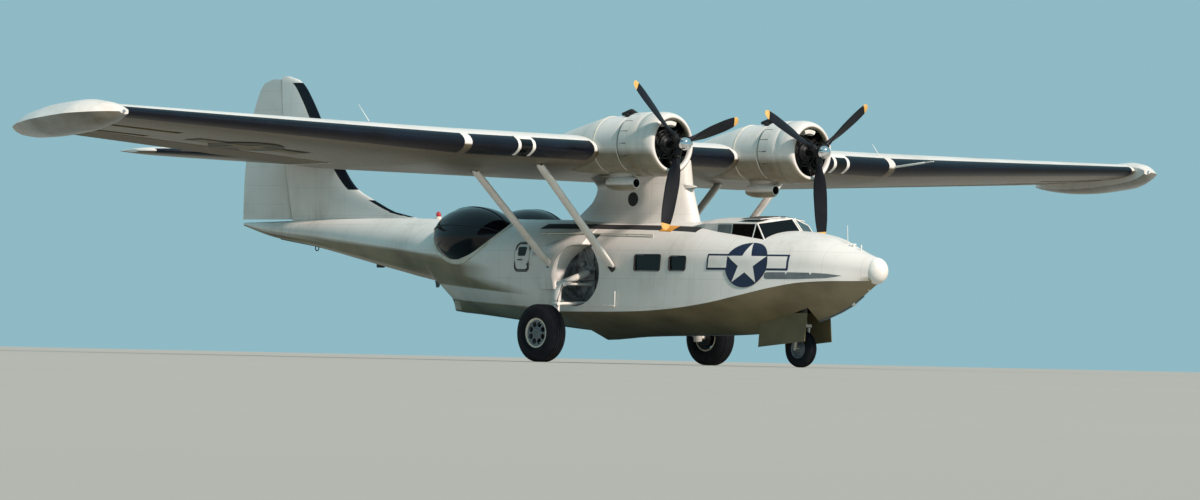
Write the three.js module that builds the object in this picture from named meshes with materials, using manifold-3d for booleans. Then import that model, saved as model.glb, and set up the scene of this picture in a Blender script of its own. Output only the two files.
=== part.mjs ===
// Twin-engined amphibious flying boat with a parasol wing on a pylon, standing on its wheels.
// Millimetres. +Z is up, the nose points to -Y, +X is the port side. The origin is on the ground,
// below the middle of the outer box.
// Every shape is drawn in hull measure: x to port, station aft of the nose, height above the keel's step.
import * as THREE from 'three';
import * as BufferGeometryUtils from 'three/addons/utils/BufferGeometryUtils.js';
import Module from 'manifold-3d';

const wasm = await Module();
wasm.setup();

// Driving dimensions
const LENGTH = 19460;
const NOSE_STATION = 30;
const KEEL_HEIGHT = 500;
const FIT_GAP = 0.3;
const HINGE_GAP = 12;
const WALL = 60;

// Wing: root and tip sections, the joint between centre section and outer panels, and the control surfaces
const INCIDENCE = 6 * Math.PI / 180;
const WING = { joint: 6220, tip: 14800, rootChord: 4572, tipChord: 2850, rootStation: 5580, tipStation: 6070,
  rootHeight: 3840, tipHeight: 4080, rootThickness: 0.155, tipThickness: 0.125, camber: 0.022 };
const AILERON = { inner: 7000, outer: 14150, hinge: 0.75, endGap: 30 };

// Engines, propellers and their cowlings
const NACELLE = { offset: 2045, height: 3950 };
const COWL = { front: 4020, rear: 4950, radius: 655, opening: 495, inner: 637, sides: 24 };
const PROPELLER = { plane: 3840, radius: 1780, hub: 130, dome: 125, domeTip: 3560 };
const BLADE_ANGLES = { port: 35, starboard: 18 };

// Wheels
const MAIN_WHEEL = { x: 2480, station: 7270, radius: 595, width: 430, rim: 300 };
const NOSE_WHEEL = { station: 2290, radius: 380, width: 250, rim: 190, steerStation: 2240 };

// Openings in the hull
const COCKPIT = { front: 1900, rear: 4300 };
const WAIST = { front: 8520, rear: 12200, floor: 1000 };
const TAIL_SPACE_REAR = 17200;
const BULKHEADS = { bow: 4400, centre: 8400, waist: 12300 };
const DOOR = { front: 8780, rear: 9240, low: 1390, high: 1980, corner: 90, gap: 20,
  hinges: [1500, 1880], axisLow: [-1512, 1390], axisHigh: [-1398, 1980], barrel: 16 };
const BLISTER = { x: 780, station: 11080, height: 2120, halfWidth: 720, halfLength: 1090, halfHeight: 640,
  glass: 12 };

const TAIL = { hingeLow: 17880, hingeHigh: 18280, hingeLowHeight: 2490, hingeHighHeight: 5250 };
const RUDDER = { nose: 95, gap: 14, pinTop: 2505 };
const TAILPLANE = { height: 3860, halfSpan: 4680, hingeStation: 17700 };

const airframe = new THREE.Group();
airframe.position.set(0, -(NOSE_STATION + LENGTH / 2), KEEL_HEIGHT);
const group = new THREE.Group();
group.add(airframe);

// Materials by the finish of the real part
function finish(color, roughness, metalness) {
  return () => new THREE.MeshStandardMaterial({ color, roughness, metalness });
}
const whitePaint = finish(0xe6e4dc, 0.45, 0.0);
const greyPaint = finish(0x8e9390, 0.5, 0.1);
const blackPaint = finish(0x1b1c1f, 0.45, 0.0);
const bareMetal = finish(0xa9acae, 0.35, 0.9);
const darkMetal = finish(0x4a4a4a, 0.55, 0.8);
const glass = finish(0x1c2830, 0.08, 0.0);
const rubber = finish(0x202020, 0.85, 0.0);
const leather = finish(0x3a3027, 0.8, 0.0);

// A closed solid from its geometry, and back again
function solid(geometry) {
  const bare = geometry.clone();
  bare.deleteAttribute('normal');
  bare.deleteAttribute('uv');
  const merged = BufferGeometryUtils.mergeVertices(bare, 1e-4);
  return new wasm.Manifold(new wasm.Mesh({ numProp: 3,
    vertProperties: new Float32Array(merged.attributes.position.array),
    triVerts: new Uint32Array(merged.index.array) }));
}
function geometryOf(body) {
  const mesh = body.getMesh();
  const geometry = new THREE.BufferGeometry();
  geometry.setAttribute('position', new THREE.BufferAttribute(new Float32Array(mesh.vertProperties), 3));
  geometry.setIndex(new THREE.BufferAttribute(new Uint32Array(mesh.triVerts), 1));
  return geometry;
}
function join(...parts) {
  const solids = parts.map((part) => (part.isBufferGeometry ? solid(part) : part));
  return solids.reduce((sum, part) => sum.add(part));
}
function cut(body, ...tools) {
  const start = body.isBufferGeometry ? solid(body) : body;
  return tools.map((tool) => (tool.isBufferGeometry ? solid(tool) : tool))
    .reduce((rest, tool) => rest.subtract(tool), start);
}
function common(a, b) {
  return (a.isBufferGeometry ? solid(a) : a).intersect(b.isBufferGeometry ? solid(b) : b);
}
function add(name, shape, material, place = airframe) {
  const geometry = shape.isBufferGeometry ? shape : geometryOf(shape);
  const mesh = new THREE.Mesh(geometry, material());
  mesh.name = name;
  place.add(mesh);
  return mesh;
}
function mirrored(geometry) {
  const copy = (geometry.isBufferGeometry ? geometry : geometryOf(geometry)).clone();
  copy.applyMatrix4(new THREE.Matrix4().makeScale(-1, 1, 1));
  const order = copy.index.array;
  for (let i = 0; i < order.length; i += 3) {
    [order[i], order[i + 1]] = [order[i + 1], order[i]];
  }
  return copy;
}
function pair(name, shape, material) {
  add(`${name}_port`, shape, material);
  add(`${name}_starboard`, mirrored(shape), material);
}

// A body through rings of points that all have the same count, each end closed by a fan from its middle
function loft(rings) {
  const count = rings[0].length;
  const points = rings.flat();
  const faces = [];
  for (let ring = 0; ring < rings.length - 1; ring += 1) {
    for (let i = 0; i < count; i += 1) {
      const a = ring * count + i;
      const b = ring * count + (i + 1) % count;
      // The shorter diagonal, so that port and starboard are alike
      const fallen = points[b].distanceTo(points[a + count]);
      const leaning = fallen < points[a].distanceTo(points[b + count]) - 1e-3;
      faces.push(...(leaning ? [[a, b, a + count], [b, b + count, a + count]]
        : [[a, b, b + count], [a, b + count, a + count]]));
    }
  }
  [0, rings.length - 1].forEach((ring) => {
    const middle = points.push(rings[ring].reduce((sum, p) => sum.add(p), new THREE.Vector3())
      .divideScalar(count)) - 1;
    for (let i = 0; i < count; i += 1) {
      const a = ring * count + i;
      const b = ring * count + (i + 1) % count;
      faces.push(ring === 0 ? [b, a, middle] : [a, b, middle]);
    }
  });
  const volume = faces.reduce((sum, [a, b, c]) => sum
    + points[a].dot(new THREE.Vector3().crossVectors(points[b], points[c])), 0);
  const geometry = new THREE.BufferGeometry().setFromPoints(points);
  geometry.setIndex(faces.flatMap(([a, b, c]) => (volume > 0 ? [a, b, c] : [a, c, b])));
  return geometry;
}
function box(x0, x1, s0, s1, z0, z1) {
  return new THREE.BoxGeometry(x1 - x0, s1 - s0, z1 - z0)
    .translate((x0 + x1) / 2, (s0 + s1) / 2, (z0 + z1) / 2);
}
// A round bar between two points, of the given radii
function bar(from, to, radius, endRadius = radius, sides = 12) {
  const start = new THREE.Vector3(...from);
  const end = new THREE.Vector3(...to);
  const along = end.clone().sub(start);
  const rod = new THREE.CylinderGeometry(endRadius, radius, along.length(), sides);
  const up = new THREE.Vector3(0, 1, 0);
  rod.applyQuaternion(new THREE.Quaternion().setFromUnitVectors(up, along.normalize()));
  return rod.translate((from[0] + to[0]) / 2, (from[1] + to[1]) / 2, (from[2] + to[2]) / 2);
}
// A turned body from [radius, distance along the axis] points, its axis along Y
function turned(profile, segments = 32) {
  return new THREE.LatheGeometry(profile.map(([r, y]) => new THREE.Vector2(r, y)), segments);
}

// Straight-line values between the rows of a table whose first column is x
function blend(table, x) {
  const next = Math.max(1, table.findIndex((row) => row[0] >= x));
  const [a, b] = [table[next - 1], table[next]];
  const share = (x - a[0]) / (b[0] - a[0]);
  return a.map((value, i) => value + (b[i] - value) * share);
}

// Hull sections. Columns: station, keel, chine half-breadth, chine height, tuck half-breadth, tuck height,
// side half-breadth, height where the side turns in to the deck, deck height
const HULL = [
  [240, 1200, 160, 1262, 205, 1340, 232, 1462, 1722],
  [500, 1020, 380, 1250, 385, 1330, 378, 1475, 1795],
  [930, 740, 640, 1240, 640, 1330, 610, 1490, 1950],
  [1500, 520, 890, 1205, 880, 1330, 840, 1500, 2160],
  [2100, 360, 1090, 1100, 1070, 1250, 1020, 1520, 2245],
  [2800, 240, 1270, 940, 1245, 1120, 1180, 1540, 2280],
  [3650, 160, 1420, 760, 1390, 980, 1320, 1560, 2350],
  [4600, 125, 1515, 635, 1480, 880, 1420, 1580, 2430],
  [5600, 110, 1550, 575, 1510, 840, 1460, 1600, 2450],
  [6600, 80, 1550, 560, 1515, 830, 1475, 1600, 2465],
  [7860, 0, 1540, 555, 1515, 830, 1475, 1610, 2480],
  [7900, 165, 1500, 590, 1500, 850, 1470, 1610, 2480],
  [8380, 200, 1420, 605, 1465, 880, 1455, 1620, 2490],
  [9500, 295, 1160, 640, 1340, 960, 1390, 1640, 2500],
  [10600, 400, 820, 690, 1150, 1060, 1300, 1660, 2510],
  [11600, 490, 430, 735, 900, 1160, 1180, 1700, 2520],
  [12500, 570, 45, 780, 640, 1240, 1050, 1750, 2520],
  [12620, 1090, 260, 1120, 620, 1290, 1030, 1760, 2520],
  [13500, 1275, 240, 1300, 560, 1440, 860, 1850, 2535],
  [14500, 1460, 220, 1485, 490, 1610, 690, 1940, 2545],
  [15700, 1690, 180, 1710, 390, 1810, 500, 2060, 2540],
  [16920, 1920, 130, 1935, 270, 2000, 330, 2180, 2520],
  [18410, 2130, 70, 2145, 135, 2190, 160, 2290, 2480],
  [19430, 2380, 20, 2385, 38, 2400, 45, 2420, 2460],
];
const DECK_STEPS = 4;

// One ring of the hull, grown outwards by the given distance
function hullRing(row, grow = 0) {
  const [station, keel, chine, chineHeight, tuck, tuckHeight, side, sideHeight, deck] = row;
  const half = [[0, keel - grow],
    [chine * 0.55, (keel + chineHeight) / 2 - grow + (chineHeight - keel) * 0.08],
    [chine + grow, chineHeight - grow * 0.5], [tuck + grow, tuckHeight], [side + grow, sideHeight]];
  for (let i = 1; i < DECK_STEPS; i += 1) {
    const turn = i / DECK_STEPS * Math.PI / 2;
    half.push([(side + grow) * Math.cos(turn), sideHeight + (deck + grow - sideHeight) * Math.sin(turn)]);
  }
  half.push([0, deck + grow]);
  const port = half.map(([x, height]) => new THREE.Vector3(x, station, height));
  const starboard = half.slice(1, -1).reverse().map(([x, height]) => new THREE.Vector3(-x, station, height));
  return [...port, ...starboard];
}
function hullBody(grow, first = -Infinity, last = Infinity) {
  const rows = HULL.filter((row) => row[0] > first && row[0] < last);
  if (first > HULL[0][0]) rows.unshift(blend(HULL, first));
  if (last < HULL.at(-1)[0]) rows.push(blend(HULL, last));
  return loft(rows.map((row) => hullRing(row, grow)));
}

// Wing sections
function thicknessAt(share) {
  return 5 * (0.2969 * Math.sqrt(share) - 0.126 * share - 0.3516 * share ** 2 + 0.2843 * share ** 3
    - 0.1015 * share ** 4);
}
const SECTION_STEPS = 8;
// Ring of [along, up] points from the trailing edge over the top to the leading edge and back below
function aerofoil(chord, thickness, camber, grow = 0) {
  const points = [];
  for (let i = -SECTION_STEPS; i <= SECTION_STEPS; i += 1) {
    const share = (1 - Math.cos(Math.PI * Math.abs(i) / SECTION_STEPS)) / 2;
    const half = thicknessAt(share) * thickness * chord + grow;
    const middle = 4 * camber * share * (1 - share) * chord;
    points.push([share * chord + (share - 0.5) * 2 * grow, i < 0 ? middle + half : middle - half]);
  }
  points[SECTION_STEPS][1] = 0;
  return points;
}
// The wing's plan and height at a place along the span
function wingAt(x) {
  const share = Math.max(0, (Math.abs(x) - WING.joint) / (WING.tip - WING.joint));
  const between = (a, b) => a + (b - a) * share;
  return { station: between(WING.rootStation, WING.tipStation), chord: between(WING.rootChord, WING.tipChord),
    height: between(WING.rootHeight, WING.tipHeight),
    thickness: between(WING.rootThickness, WING.tipThickness) };
}
function wingPoint(x, along, up) {
  const plan = wingAt(x);
  return new THREE.Vector3(x, plan.station + along * Math.cos(INCIDENCE) + up * Math.sin(INCIDENCE),
    plan.height - along * Math.sin(INCIDENCE) + up * Math.cos(INCIDENCE));
}
function wingRing(x, grow = 0) {
  const plan = wingAt(x);
  return aerofoil(plan.chord, plan.thickness, WING.camber, grow)
    .map(([along, up]) => wingPoint(x, along, up));
}
// Height of the wing's lower face at a place
function undersideAt(x, station) {
  const plan = wingAt(x);
  const share = (station - plan.station) / Math.cos(INCIDENCE) / plan.chord;
  const up = 4 * WING.camber * share * (1 - share) * plan.chord
    - thicknessAt(share) * plan.thickness * plan.chord;
  return wingPoint(x, share * plan.chord, up).z;
}

// Hull: four bays that meet at their bulkheads
const hullSkin = solid(hullBody(0));
const hullCutter = solid(hullBody(FIT_GAP));
function bay(front, rear) {
  return common(hullSkin, box(-2500, 2500, front + FIT_GAP / 2, rear - FIT_GAP / 2, -500, 3500));
}

// Cockpit glasshouse: rings from the centre post back to the deck.
// Columns: station of bottom, station of top, half-breadth at the sill and at the eave,
// heights of sill, eave and roof
const CANOPY = [
  [2300, 2580, 30, 30, 2190, 2500, 2504],
  [2580, 2860, 800, 740, 2000, 2380, 2530],
  [3450, 3450, 830, 760, 1960, 2390, 2540],
  [4340, 4340, 820, 740, 1960, 2390, 2535],
  [5200, 5200, 800, 560, 1960, 2300, 2440],
];
function canopyBody(inset) {
  return loft(CANOPY.map(([bottom, top, sill, eave, sillHeight, eaveHeight, roof], i) => {
    const back = i === 0 ? inset * 1.5 : 0;
    const sillX = Math.max(15, sill - inset);
    const eaveX = Math.max(12, eave - inset);
    const half = [[sillX, bottom + back, sillHeight - 300], [sillX, bottom + back, sillHeight],
      [eaveX, top + back, eaveHeight - inset], [eaveX / 2, top + back, (eaveHeight + roof * 3) / 4 - inset]];
    return [...half.map((p) => new THREE.Vector3(...p)), new THREE.Vector3(0, top + back, roof - inset),
      ...half.reverse().map(([x, y, z]) => new THREE.Vector3(-x, y, z))];
  }));
}
// A prism through a flat window, from its corners
function windowCut(corners, depth = 120) {
  const ring = corners.map((corner) => new THREE.Vector3(...corner));
  const normal = new THREE.Vector3().crossVectors(ring[1].clone().sub(ring[0]), ring[2].clone().sub(ring[0]))
    .normalize().multiplyScalar(depth);
  return loft([ring.map((p) => p.clone().sub(normal)), ring.map((p) => p.clone().add(normal))]);
}
const FRAME_DEPTH = 25;
const PANES = {
  screen: [[32, 2386, 2285], [32, 2548, 2465], [703, 2819, 2345], [740, 2652, 2115]],
  quarter: [[785, 2705, 2108], [752, 2895, 2335], [785, 2935, 2132]],
  side: [[785, 2985, 2145], [752, 2985, 2345], [752, 3520, 2350], [787, 3530, 2205]],
};
const panes = [];
Object.values(PANES).forEach((corners) => {
  panes.push(windowCut(corners));
  panes.push(windowCut(corners.map(([x, y, z]) => [-x, y, z])));
});
const canopyInside = solid(canopyBody(FRAME_DEPTH));
add('canopy_frame', cut(canopyBody(0), canopyInside, hullCutter, ...panes), whitePaint);
const glazing = common(cut(canopyBody(FRAME_DEPTH + FIT_GAP), canopyBody(FRAME_DEPTH + 8), hullCutter),
  box(-900, 900, 1900, 3560, 1800, 2500 - FRAME_DEPTH));
add('cockpit_glass', glazing, glass);

// Wheel wells, the doorway and the blisters' openings
const WELL = { station: MAIN_WHEEL.station, height: 1310, radius: 640, depth: 1000,
  slotFront: 6960, slotRear: 7200, top: 2160 };
function wheelWell(side) {
  const round = new THREE.CylinderGeometry(WELL.radius, WELL.radius, 1200, 20).rotateZ(Math.PI / 2)
    .translate(side * (WELL.depth + 600), WELL.station, WELL.height);
  const from = Math.min(side * WELL.depth, side * (WELL.depth + 1200));
  return join(round, box(from, from + 1200, WELL.slotFront, WELL.slotRear, WELL.height, WELL.top));
}
const NOSE_BAY = { halfWidth: 350, front: 1800, rear: 3120, roof: 1010 };
const noseBay = box(-NOSE_BAY.halfWidth, NOSE_BAY.halfWidth, NOSE_BAY.front, NOSE_BAY.rear, -100,
  NOSE_BAY.roof);
const cockpitSpace = common(hullBody(-WALL, COCKPIT.front, COCKPIT.rear),
  box(-1500, 1500, COCKPIT.front, COCKPIT.rear, NOSE_BAY.roof + 130, 3000));
const cockpitOpening = common(canopyInside, box(-640, 640, 2250, 4150, 1700, 3000));
const waistSpace = common(hullBody(-WALL, WAIST.front, WAIST.rear),
  box(-1500, 1500, WAIST.front, WAIST.rear, WAIST.floor, 3000));

function roundedPanel(front, rear, low, high, corner) {
  const shape = new THREE.Shape();
  shape.moveTo(front + corner, low);
  shape.lineTo(rear - corner, low);
  shape.absarc(rear - corner, low + corner, corner, -Math.PI / 2, 0);
  shape.lineTo(rear, high - corner);
  shape.absarc(rear - corner, high - corner, corner, 0, Math.PI / 2);
  shape.lineTo(front + corner, high);
  shape.absarc(front + corner, high - corner, corner, Math.PI / 2, Math.PI);
  shape.lineTo(front, low + corner);
  shape.absarc(front + corner, low + corner, corner, Math.PI, Math.PI * 1.5);
  return shape;
}
// An outline drawn as (station, height), made into a slab between two places across the hull
function acrossHull(shape, x0, x1) {
  const slab = new THREE.ExtrudeGeometry(shape, { depth: x1 - x0, bevelEnabled: false, curveSegments: 5 });
  slab.applyMatrix4(new THREE.Matrix4().makeBasis(new THREE.Vector3(0, 1, 0), new THREE.Vector3(0, 0, 1),
    new THREE.Vector3(1, 0, 0)));
  return slab.translate(x0, 0, 0);
}
const doorway = acrossHull(roundedPanel(DOOR.front - DOOR.gap, DOOR.rear + DOOR.gap, DOOR.low - DOOR.gap,
  DOOR.high + DOOR.gap, DOOR.corner + DOOR.gap), -1700, -1000);

// Hinge barrels of the hatch: knuckles on its axis, outside the hull, each with an arm to the skin
function hatchAxis(height) {
  const share = (height - DOOR.axisLow[1]) / (DOOR.axisHigh[1] - DOOR.axisLow[1]);
  return [DOOR.axisLow[0] + (DOOR.axisHigh[0] - DOOR.axisLow[0]) * share, DOOR.front - 4, height];
}
function hatchHinges(armStation, above) {
  return DOOR.hinges.flatMap((height) => {
    const near = hatchAxis(height + above * FIT_GAP / 2);
    const far = hatchAxis(height + above * 45);
    const middle = hatchAxis(height + above * 22);
    return [bar(near, far, DOOR.barrel, DOOR.barrel, 10),
      bar(middle, [middle[0] + 130, armStation, middle[2]], 10, 10, 6)];
  });
}

// Half-breadth of the hull's side at a height above the chine
function hullSideAt(station, height) {
  const half = hullRing(blend(HULL, station)).slice(2, DECK_STEPS + 5);
  const next = half.findIndex((point) => point.z >= height);
  const [low, high] = [half[next - 1], half[next]];
  return low.x + (high.x - low.x) * (height - low.z) / (high.z - low.z);
}
// Raised fairing behind and above each wheel well, from the well's edge out to where it meets the hull.
// Columns: station and height at the well's edge, station and height at its outer edge, how far it stands out
const FAIRING_ROOT = -110;
const FAIRING = [
  [7850, 1000, 8385, 1010, 110],
  [7930, 1310, 8385, 1420, 130],
  [7868, 1589, 8385, 1900, 130],
  [7695, 1815, 8020, 2040, 120],
  [7441, 1948, 7640, 2175, 100],
  [7205, 1970, 7400, 2250, 80],
  [7205, 2160, 7280, 2300, 50],
];
function fairing(side, grow = 0) {
  return solid(loft(FAIRING.map(([station, height, outerStation, outerHeight, lift]) => [
    [0, FAIRING_ROOT], [0, lift + grow], [0.5, lift * 0.6 + grow], [1, grow], [1, FAIRING_ROOT],
  ].map(([share, out]) => {
    const at = station + (outerStation - station) * share;
    const up = height + (outerHeight - height) * share;
    return new THREE.Vector3(side * (hullSideAt(at, up) + out), at, up);
  }))));
}

function blisterBody(side, grow) {
  const dome = new THREE.SphereGeometry(1, 14, 8);
  dome.rotateX(Math.PI / 2);
  dome.scale(BLISTER.halfWidth + grow, BLISTER.halfLength + grow, BLISTER.halfHeight + grow);
  return solid(dome.translate(side * BLISTER.x, BLISTER.station, BLISTER.height));
}

add('hull_bow', cut(bay(-1000, BULKHEADS.bow), noseBay, cockpitSpace, cockpitOpening), whitePaint);
add('hull_centre', join(cut(bay(BULKHEADS.bow, BULKHEADS.centre), wheelWell(1), wheelWell(-1)), fairing(1),
  fairing(-1)), whitePaint);
const tailDoorway = box(-300, 300, WAIST.rear - 50, BULKHEADS.waist + 50, 1500, 2200);
add('hull_waist', cut(bay(BULKHEADS.centre, BULKHEADS.waist), waistSpace, doorway, tailDoorway,
  blisterBody(1, -55), blisterBody(-1, -55)).add(join(...hatchHinges(DOOR.front - 45, -1))), whitePaint);
const tailSpace = hullBody(-WALL, BULKHEADS.waist - 50, TAIL_SPACE_REAR);
add('hull_tail', join(cut(bay(BULKHEADS.waist, 30000), tailSpace), rudderPin(2400, RUDDER.pinTop)),
  whitePaint);

const cap = new THREE.SphereGeometry(250, 16, 8).rotateX(Math.PI / 2).scale(0.98, 1, 1.08)
  .translate(0, NOSE_STATION + 250, 1465);
add('nose_cap', cut(cap, hullCutter), whitePaint);

[['port', 1], ['starboard', -1]].forEach(([name, side]) => {
  const hollow = cut(blisterBody(side, 0), blisterBody(side, -BLISTER.glass));
  add(`blister_glass_${name}`, cut(hollow, hullCutter), glass);
});

// Entry hatch in the starboard side, curved as the hull's side is
const hatch = common(cut(hullSkin, hullBody(-35)), acrossHull(roundedPanel(DOOR.front, DOOR.rear, DOOR.low,
  DOOR.high, DOOR.corner), -1700, -1000));
const hatchWindow = acrossHull(roundedPanel(DOOR.front + 110, DOOR.rear - 90, DOOR.low + 310,
  DOOR.high - 90, 50), -1700, -1000);
add('entry_hatch', join(cut(hatch, hatchWindow), ...hatchHinges(DOOR.front + 30, 1)), whitePaint);

// Cockpit fittings
const deckInside = NOSE_BAY.roof + 130;
add('instrument_panel', box(-620, 620, 2420, 2480, deckInside + FIT_GAP, 1990), blackPaint);
const YOKE = { station: 2700, bar: 1650, wheel: 1820, offset: 420 };
const yokeBars = [[0, deckInside + FIT_GAP, 0, YOKE.bar, 35], [-520, YOKE.bar, 520, YOKE.bar, 25],
  ...[-1, 1].flatMap((side) => [[side * YOKE.offset, YOKE.bar, side * YOKE.offset, YOKE.wheel, 22],
    [side * YOKE.offset - 140, YOKE.wheel, side * YOKE.offset + 140, YOKE.wheel, 18]])];
add('control_yoke', join(...yokeBars.map(([x0, z0, x1, z1, radius]) => bar([x0, YOKE.station, z0],
  [x1, YOKE.station, z1], radius, radius, 6))), blackPaint);
[['port', 1], ['starboard', -1]].forEach(([name, side]) => {
  const x = side * 420;
  add(`seat_${name}`, join(box(x - 210, x + 210, 2980, 3420, 1450, 1510),
    box(x - 210, x + 210, 3400, 3460, 1450, 2050),
    box(x - 60, x + 60, 3100, 3300, deckInside + FIT_GAP, 1460)), leather);
});

// Wing
const wingCentre = solid(loft([wingRing(-WING.joint), wingRing(0), wingRing(WING.joint)]));
const wingCutter = solid(loft([wingRing(-WING.joint, FIT_GAP), wingRing(WING.joint, FIT_GAP)]));
add('wing_centre', wingCentre, whitePaint);

// The aileron's hinge line, in the middle of the section
function hingePoint(x) {
  const plan = wingAt(x);
  const share = AILERON.hinge;
  return wingPoint(x, share * plan.chord, 4 * WING.camber * share * (1 - share) * plan.chord);
}
function hingeRadius(x) {
  const plan = wingAt(x);
  return thicknessAt(AILERON.hinge) * plan.thickness * plan.chord - 3;
}
function aileronZone(x0, x1, ahead) {
  const reach = 2000;
  return loft([x0, x1].map((x) => {
    const hinge = hingePoint(x);
    return [[-ahead, -reach], [-ahead, reach], [reach, reach], [reach, -reach]]
      .map(([along, up]) => new THREE.Vector3(x, hinge.y + along, hinge.z + up));
  }));
}
const hingeWay = hingePoint(AILERON.outer).sub(hingePoint(AILERON.inner)).normalize();
const aileronPins = [[AILERON.inner, -1], [AILERON.outer, 1]].map(([x, way]) => bar(
  hingePoint(x).addScaledVector(hingeWay, way * FIT_GAP).toArray(),
  hingePoint(x).addScaledVector(hingeWay, way * 60).toArray(), 22, 22, 10));
const aileronNose = bar(hingePoint(AILERON.inner).toArray(), hingePoint(AILERON.outer).toArray(),
  hingeRadius(AILERON.inner), hingeRadius(AILERON.outer), 16);
const outerWing = solid(loft([wingRing(WING.joint + FIT_GAP), wingRing(WING.tip)]));

// Tip float on its two legs.
// Columns: station, half-beam, depth outboard of the wing tip, height of its middle
const FLOAT = [
  [5800, 60, 260, 4045],
  [6050, 210, 760, 4020],
  [6550, 300, 1040, 3975],
  [7250, 310, 1050, 3905],
  [7950, 270, 880, 3840],
  [8550, 180, 560, 3790],
  [9020, 50, 180, 3750],
];
const FLOAT_LEGS = { pivot: 12640, stations: [6950, 7950], width: 190, depth: 70, rise: 20, slotRoom: 32 };
const FLOAT_DECK = WING.tip + HINGE_GAP;
function legHeight(x, station) {
  return undersideAt(x, station) + FLOAT_LEGS.rise + FLOAT_LEGS.depth / 2;
}
function floatLeg(station, grow) {
  const half = [FLOAT_LEGS.width / 2 + grow, FLOAT_LEGS.depth / 2 + grow];
  const ends = [FLOAT_LEGS.pivot - grow * 7, FLOAT_DECK + 200];
  return loft(ends.map((x) => {
    const height = legHeight(x, station);
    const low = height - half[1] - (grow > 0 ? 400 : 0);
    const top = height + FLOAT_LEGS.depth / 2 + (grow > 0 ? FLOAT_LEGS.slotRoom : 0);
    return [[-half[0], low], [half[0], low], [half[0], top], [-half[0], top]]
      .map(([along, z]) => new THREE.Vector3(x, station + along, z));
  }));
}
// Both legs turn on one line under the wing, parallel to the chord:
// barrels on the legs between pins in the wing
function onFloatAxis(station) {
  const [front, rear] = FLOAT_LEGS.stations.map((place) => legHeight(FLOAT_LEGS.pivot, place));
  const share = (station - FLOAT_LEGS.stations[0]) / (FLOAT_LEGS.stations[1] - FLOAT_LEGS.stations[0]);
  return [FLOAT_LEGS.pivot, station, front + (rear - front) * share];
}
const barrelHalf = FLOAT_LEGS.width / 2 + 6;
const floatBarrels = FLOAT_LEGS.stations.map((station) => bar(onFloatAxis(station - barrelHalf),
  onFloatAxis(station + barrelHalf), FLOAT_LEGS.depth / 2, FLOAT_LEGS.depth / 2, 12));
const floatPins = FLOAT_LEGS.stations.flatMap((station) => [-1, 1].map((way) => bar(
  onFloatAxis(station + way * (barrelHalf + FIT_GAP)),
  onFloatAxis(station + way * (barrelHalf + 50)), 22, 22, 10)));
const floatBody = loft(FLOAT.map(([station, beam, depth, middle]) => [[0, 0.7], [0.3, 1], [0.66, 0.8], [1, 0],
  [0.66, -0.8], [0.3, -1], [0, -0.7]].map(([out, up]) => new THREE.Vector3(FLOAT_DECK + out * depth, station,
  middle + up * beam))));
const tipFloat = join(floatBody, ...floatBarrels,
  ...FLOAT_LEGS.stations.map((station) => floatLeg(station, 0)));

const wingOuter = cut(outerWing, aileronZone(AILERON.inner - AILERON.endGap, AILERON.outer + AILERON.endGap,
  hingeRadius(AILERON.inner) + HINGE_GAP), ...FLOAT_LEGS.stations.map((station) => floatLeg(station, 14)));
pair('wing_outer', wingOuter.add(join(...aileronPins, ...floatPins)), whitePaint);
pair('aileron', join(common(outerWing, aileronZone(AILERON.inner + 25, AILERON.outer - 25, 0)), aileronNose),
  whitePaint);
pair('tip_float', tipFloat, whitePaint);

// Pylon. Columns: height, front station, rear station, half-breadth
const PYLON = [
  [2250, 5230, 8900, 640],
  [2500, 5290, 8800, 580],
  [2900, 5420, 8330, 530],
  [3150, 5500, 8220, 530],
  [3400, 5545, 8480, 560],
  [3840, 5620, 8850, 600],
];
const PYLON_STEPS = 7;
function pylonRing([height, front, rear, half], grow = 0) {
  const outline = [];
  for (let i = 0; i <= PYLON_STEPS; i += 1) {
    const share = (1 - Math.cos(Math.PI * i / PYLON_STEPS)) / 2;
    const width = (half + grow) * Math.min(1, Math.sqrt(share / 0.3)) * Math.min(1, (1.02 - share) / 0.45);
    outline.push([width, front - grow + share * (rear - front + 2 * grow)]);
  }
  outline[0][0] = 0;
  return [...outline, ...outline.slice(1).reverse().map(([x, y]) => [-x, y])]
    .map(([x, y]) => new THREE.Vector3(x, y, height));
}
const aboveWing = loft([wingRing(-WING.joint, FIT_GAP), wingRing(WING.joint, FIT_GAP)]).translate(0, 0, 300);
add('pylon', cut(loft(PYLON.map((row) => pylonRing(row))), hullCutter, wingCutter, aboveWing,
  canopyBody(-FIT_GAP)), whitePaint);

// Wing struts, streamlined. Columns: name, hull foot station, height, wing station
const STRUTS = [['front', 6250, 1410, 6300], ['rear', 8040, 1410, 8200]];
const STRUT = { hullX: 1440, wingX: 3600, chord: 230, depth: 100 };
STRUTS.forEach(([name, footStation, footHeight, wingStation]) => {
  const outline = new THREE.Shape();
  outline.absellipse(0, 0, STRUT.chord / 2, STRUT.depth / 2, 0, Math.PI * 2);
  const foot = new THREE.Vector3(STRUT.hullX - 200, footStation, footHeight - 180);
  const topHeight = undersideAt(STRUT.wingX, wingStation);
  const top = new THREE.Vector3(STRUT.wingX, wingStation, topHeight);
  const along = top.clone().sub(foot);
  top.addScaledVector(along.clone().normalize(), 150);
  const length = top.distanceTo(foot);
  const rod = new THREE.ExtrudeGeometry(outline, { depth: length, bevelEnabled: false, curveSegments: 7 });
  const z = along.clone().normalize();
  const y = new THREE.Vector3().crossVectors(z, new THREE.Vector3(0, 1, 0)).normalize();
  rod.applyMatrix4(new THREE.Matrix4().makeBasis(new THREE.Vector3().crossVectors(y, z), y, z));
  rod.translate(foot.x, foot.y, foot.z);
  pair(`wing_strut_${name}`, cut(rod, hullCutter, fairing(1, FIT_GAP), wingCutter), whitePaint);
});

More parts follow.
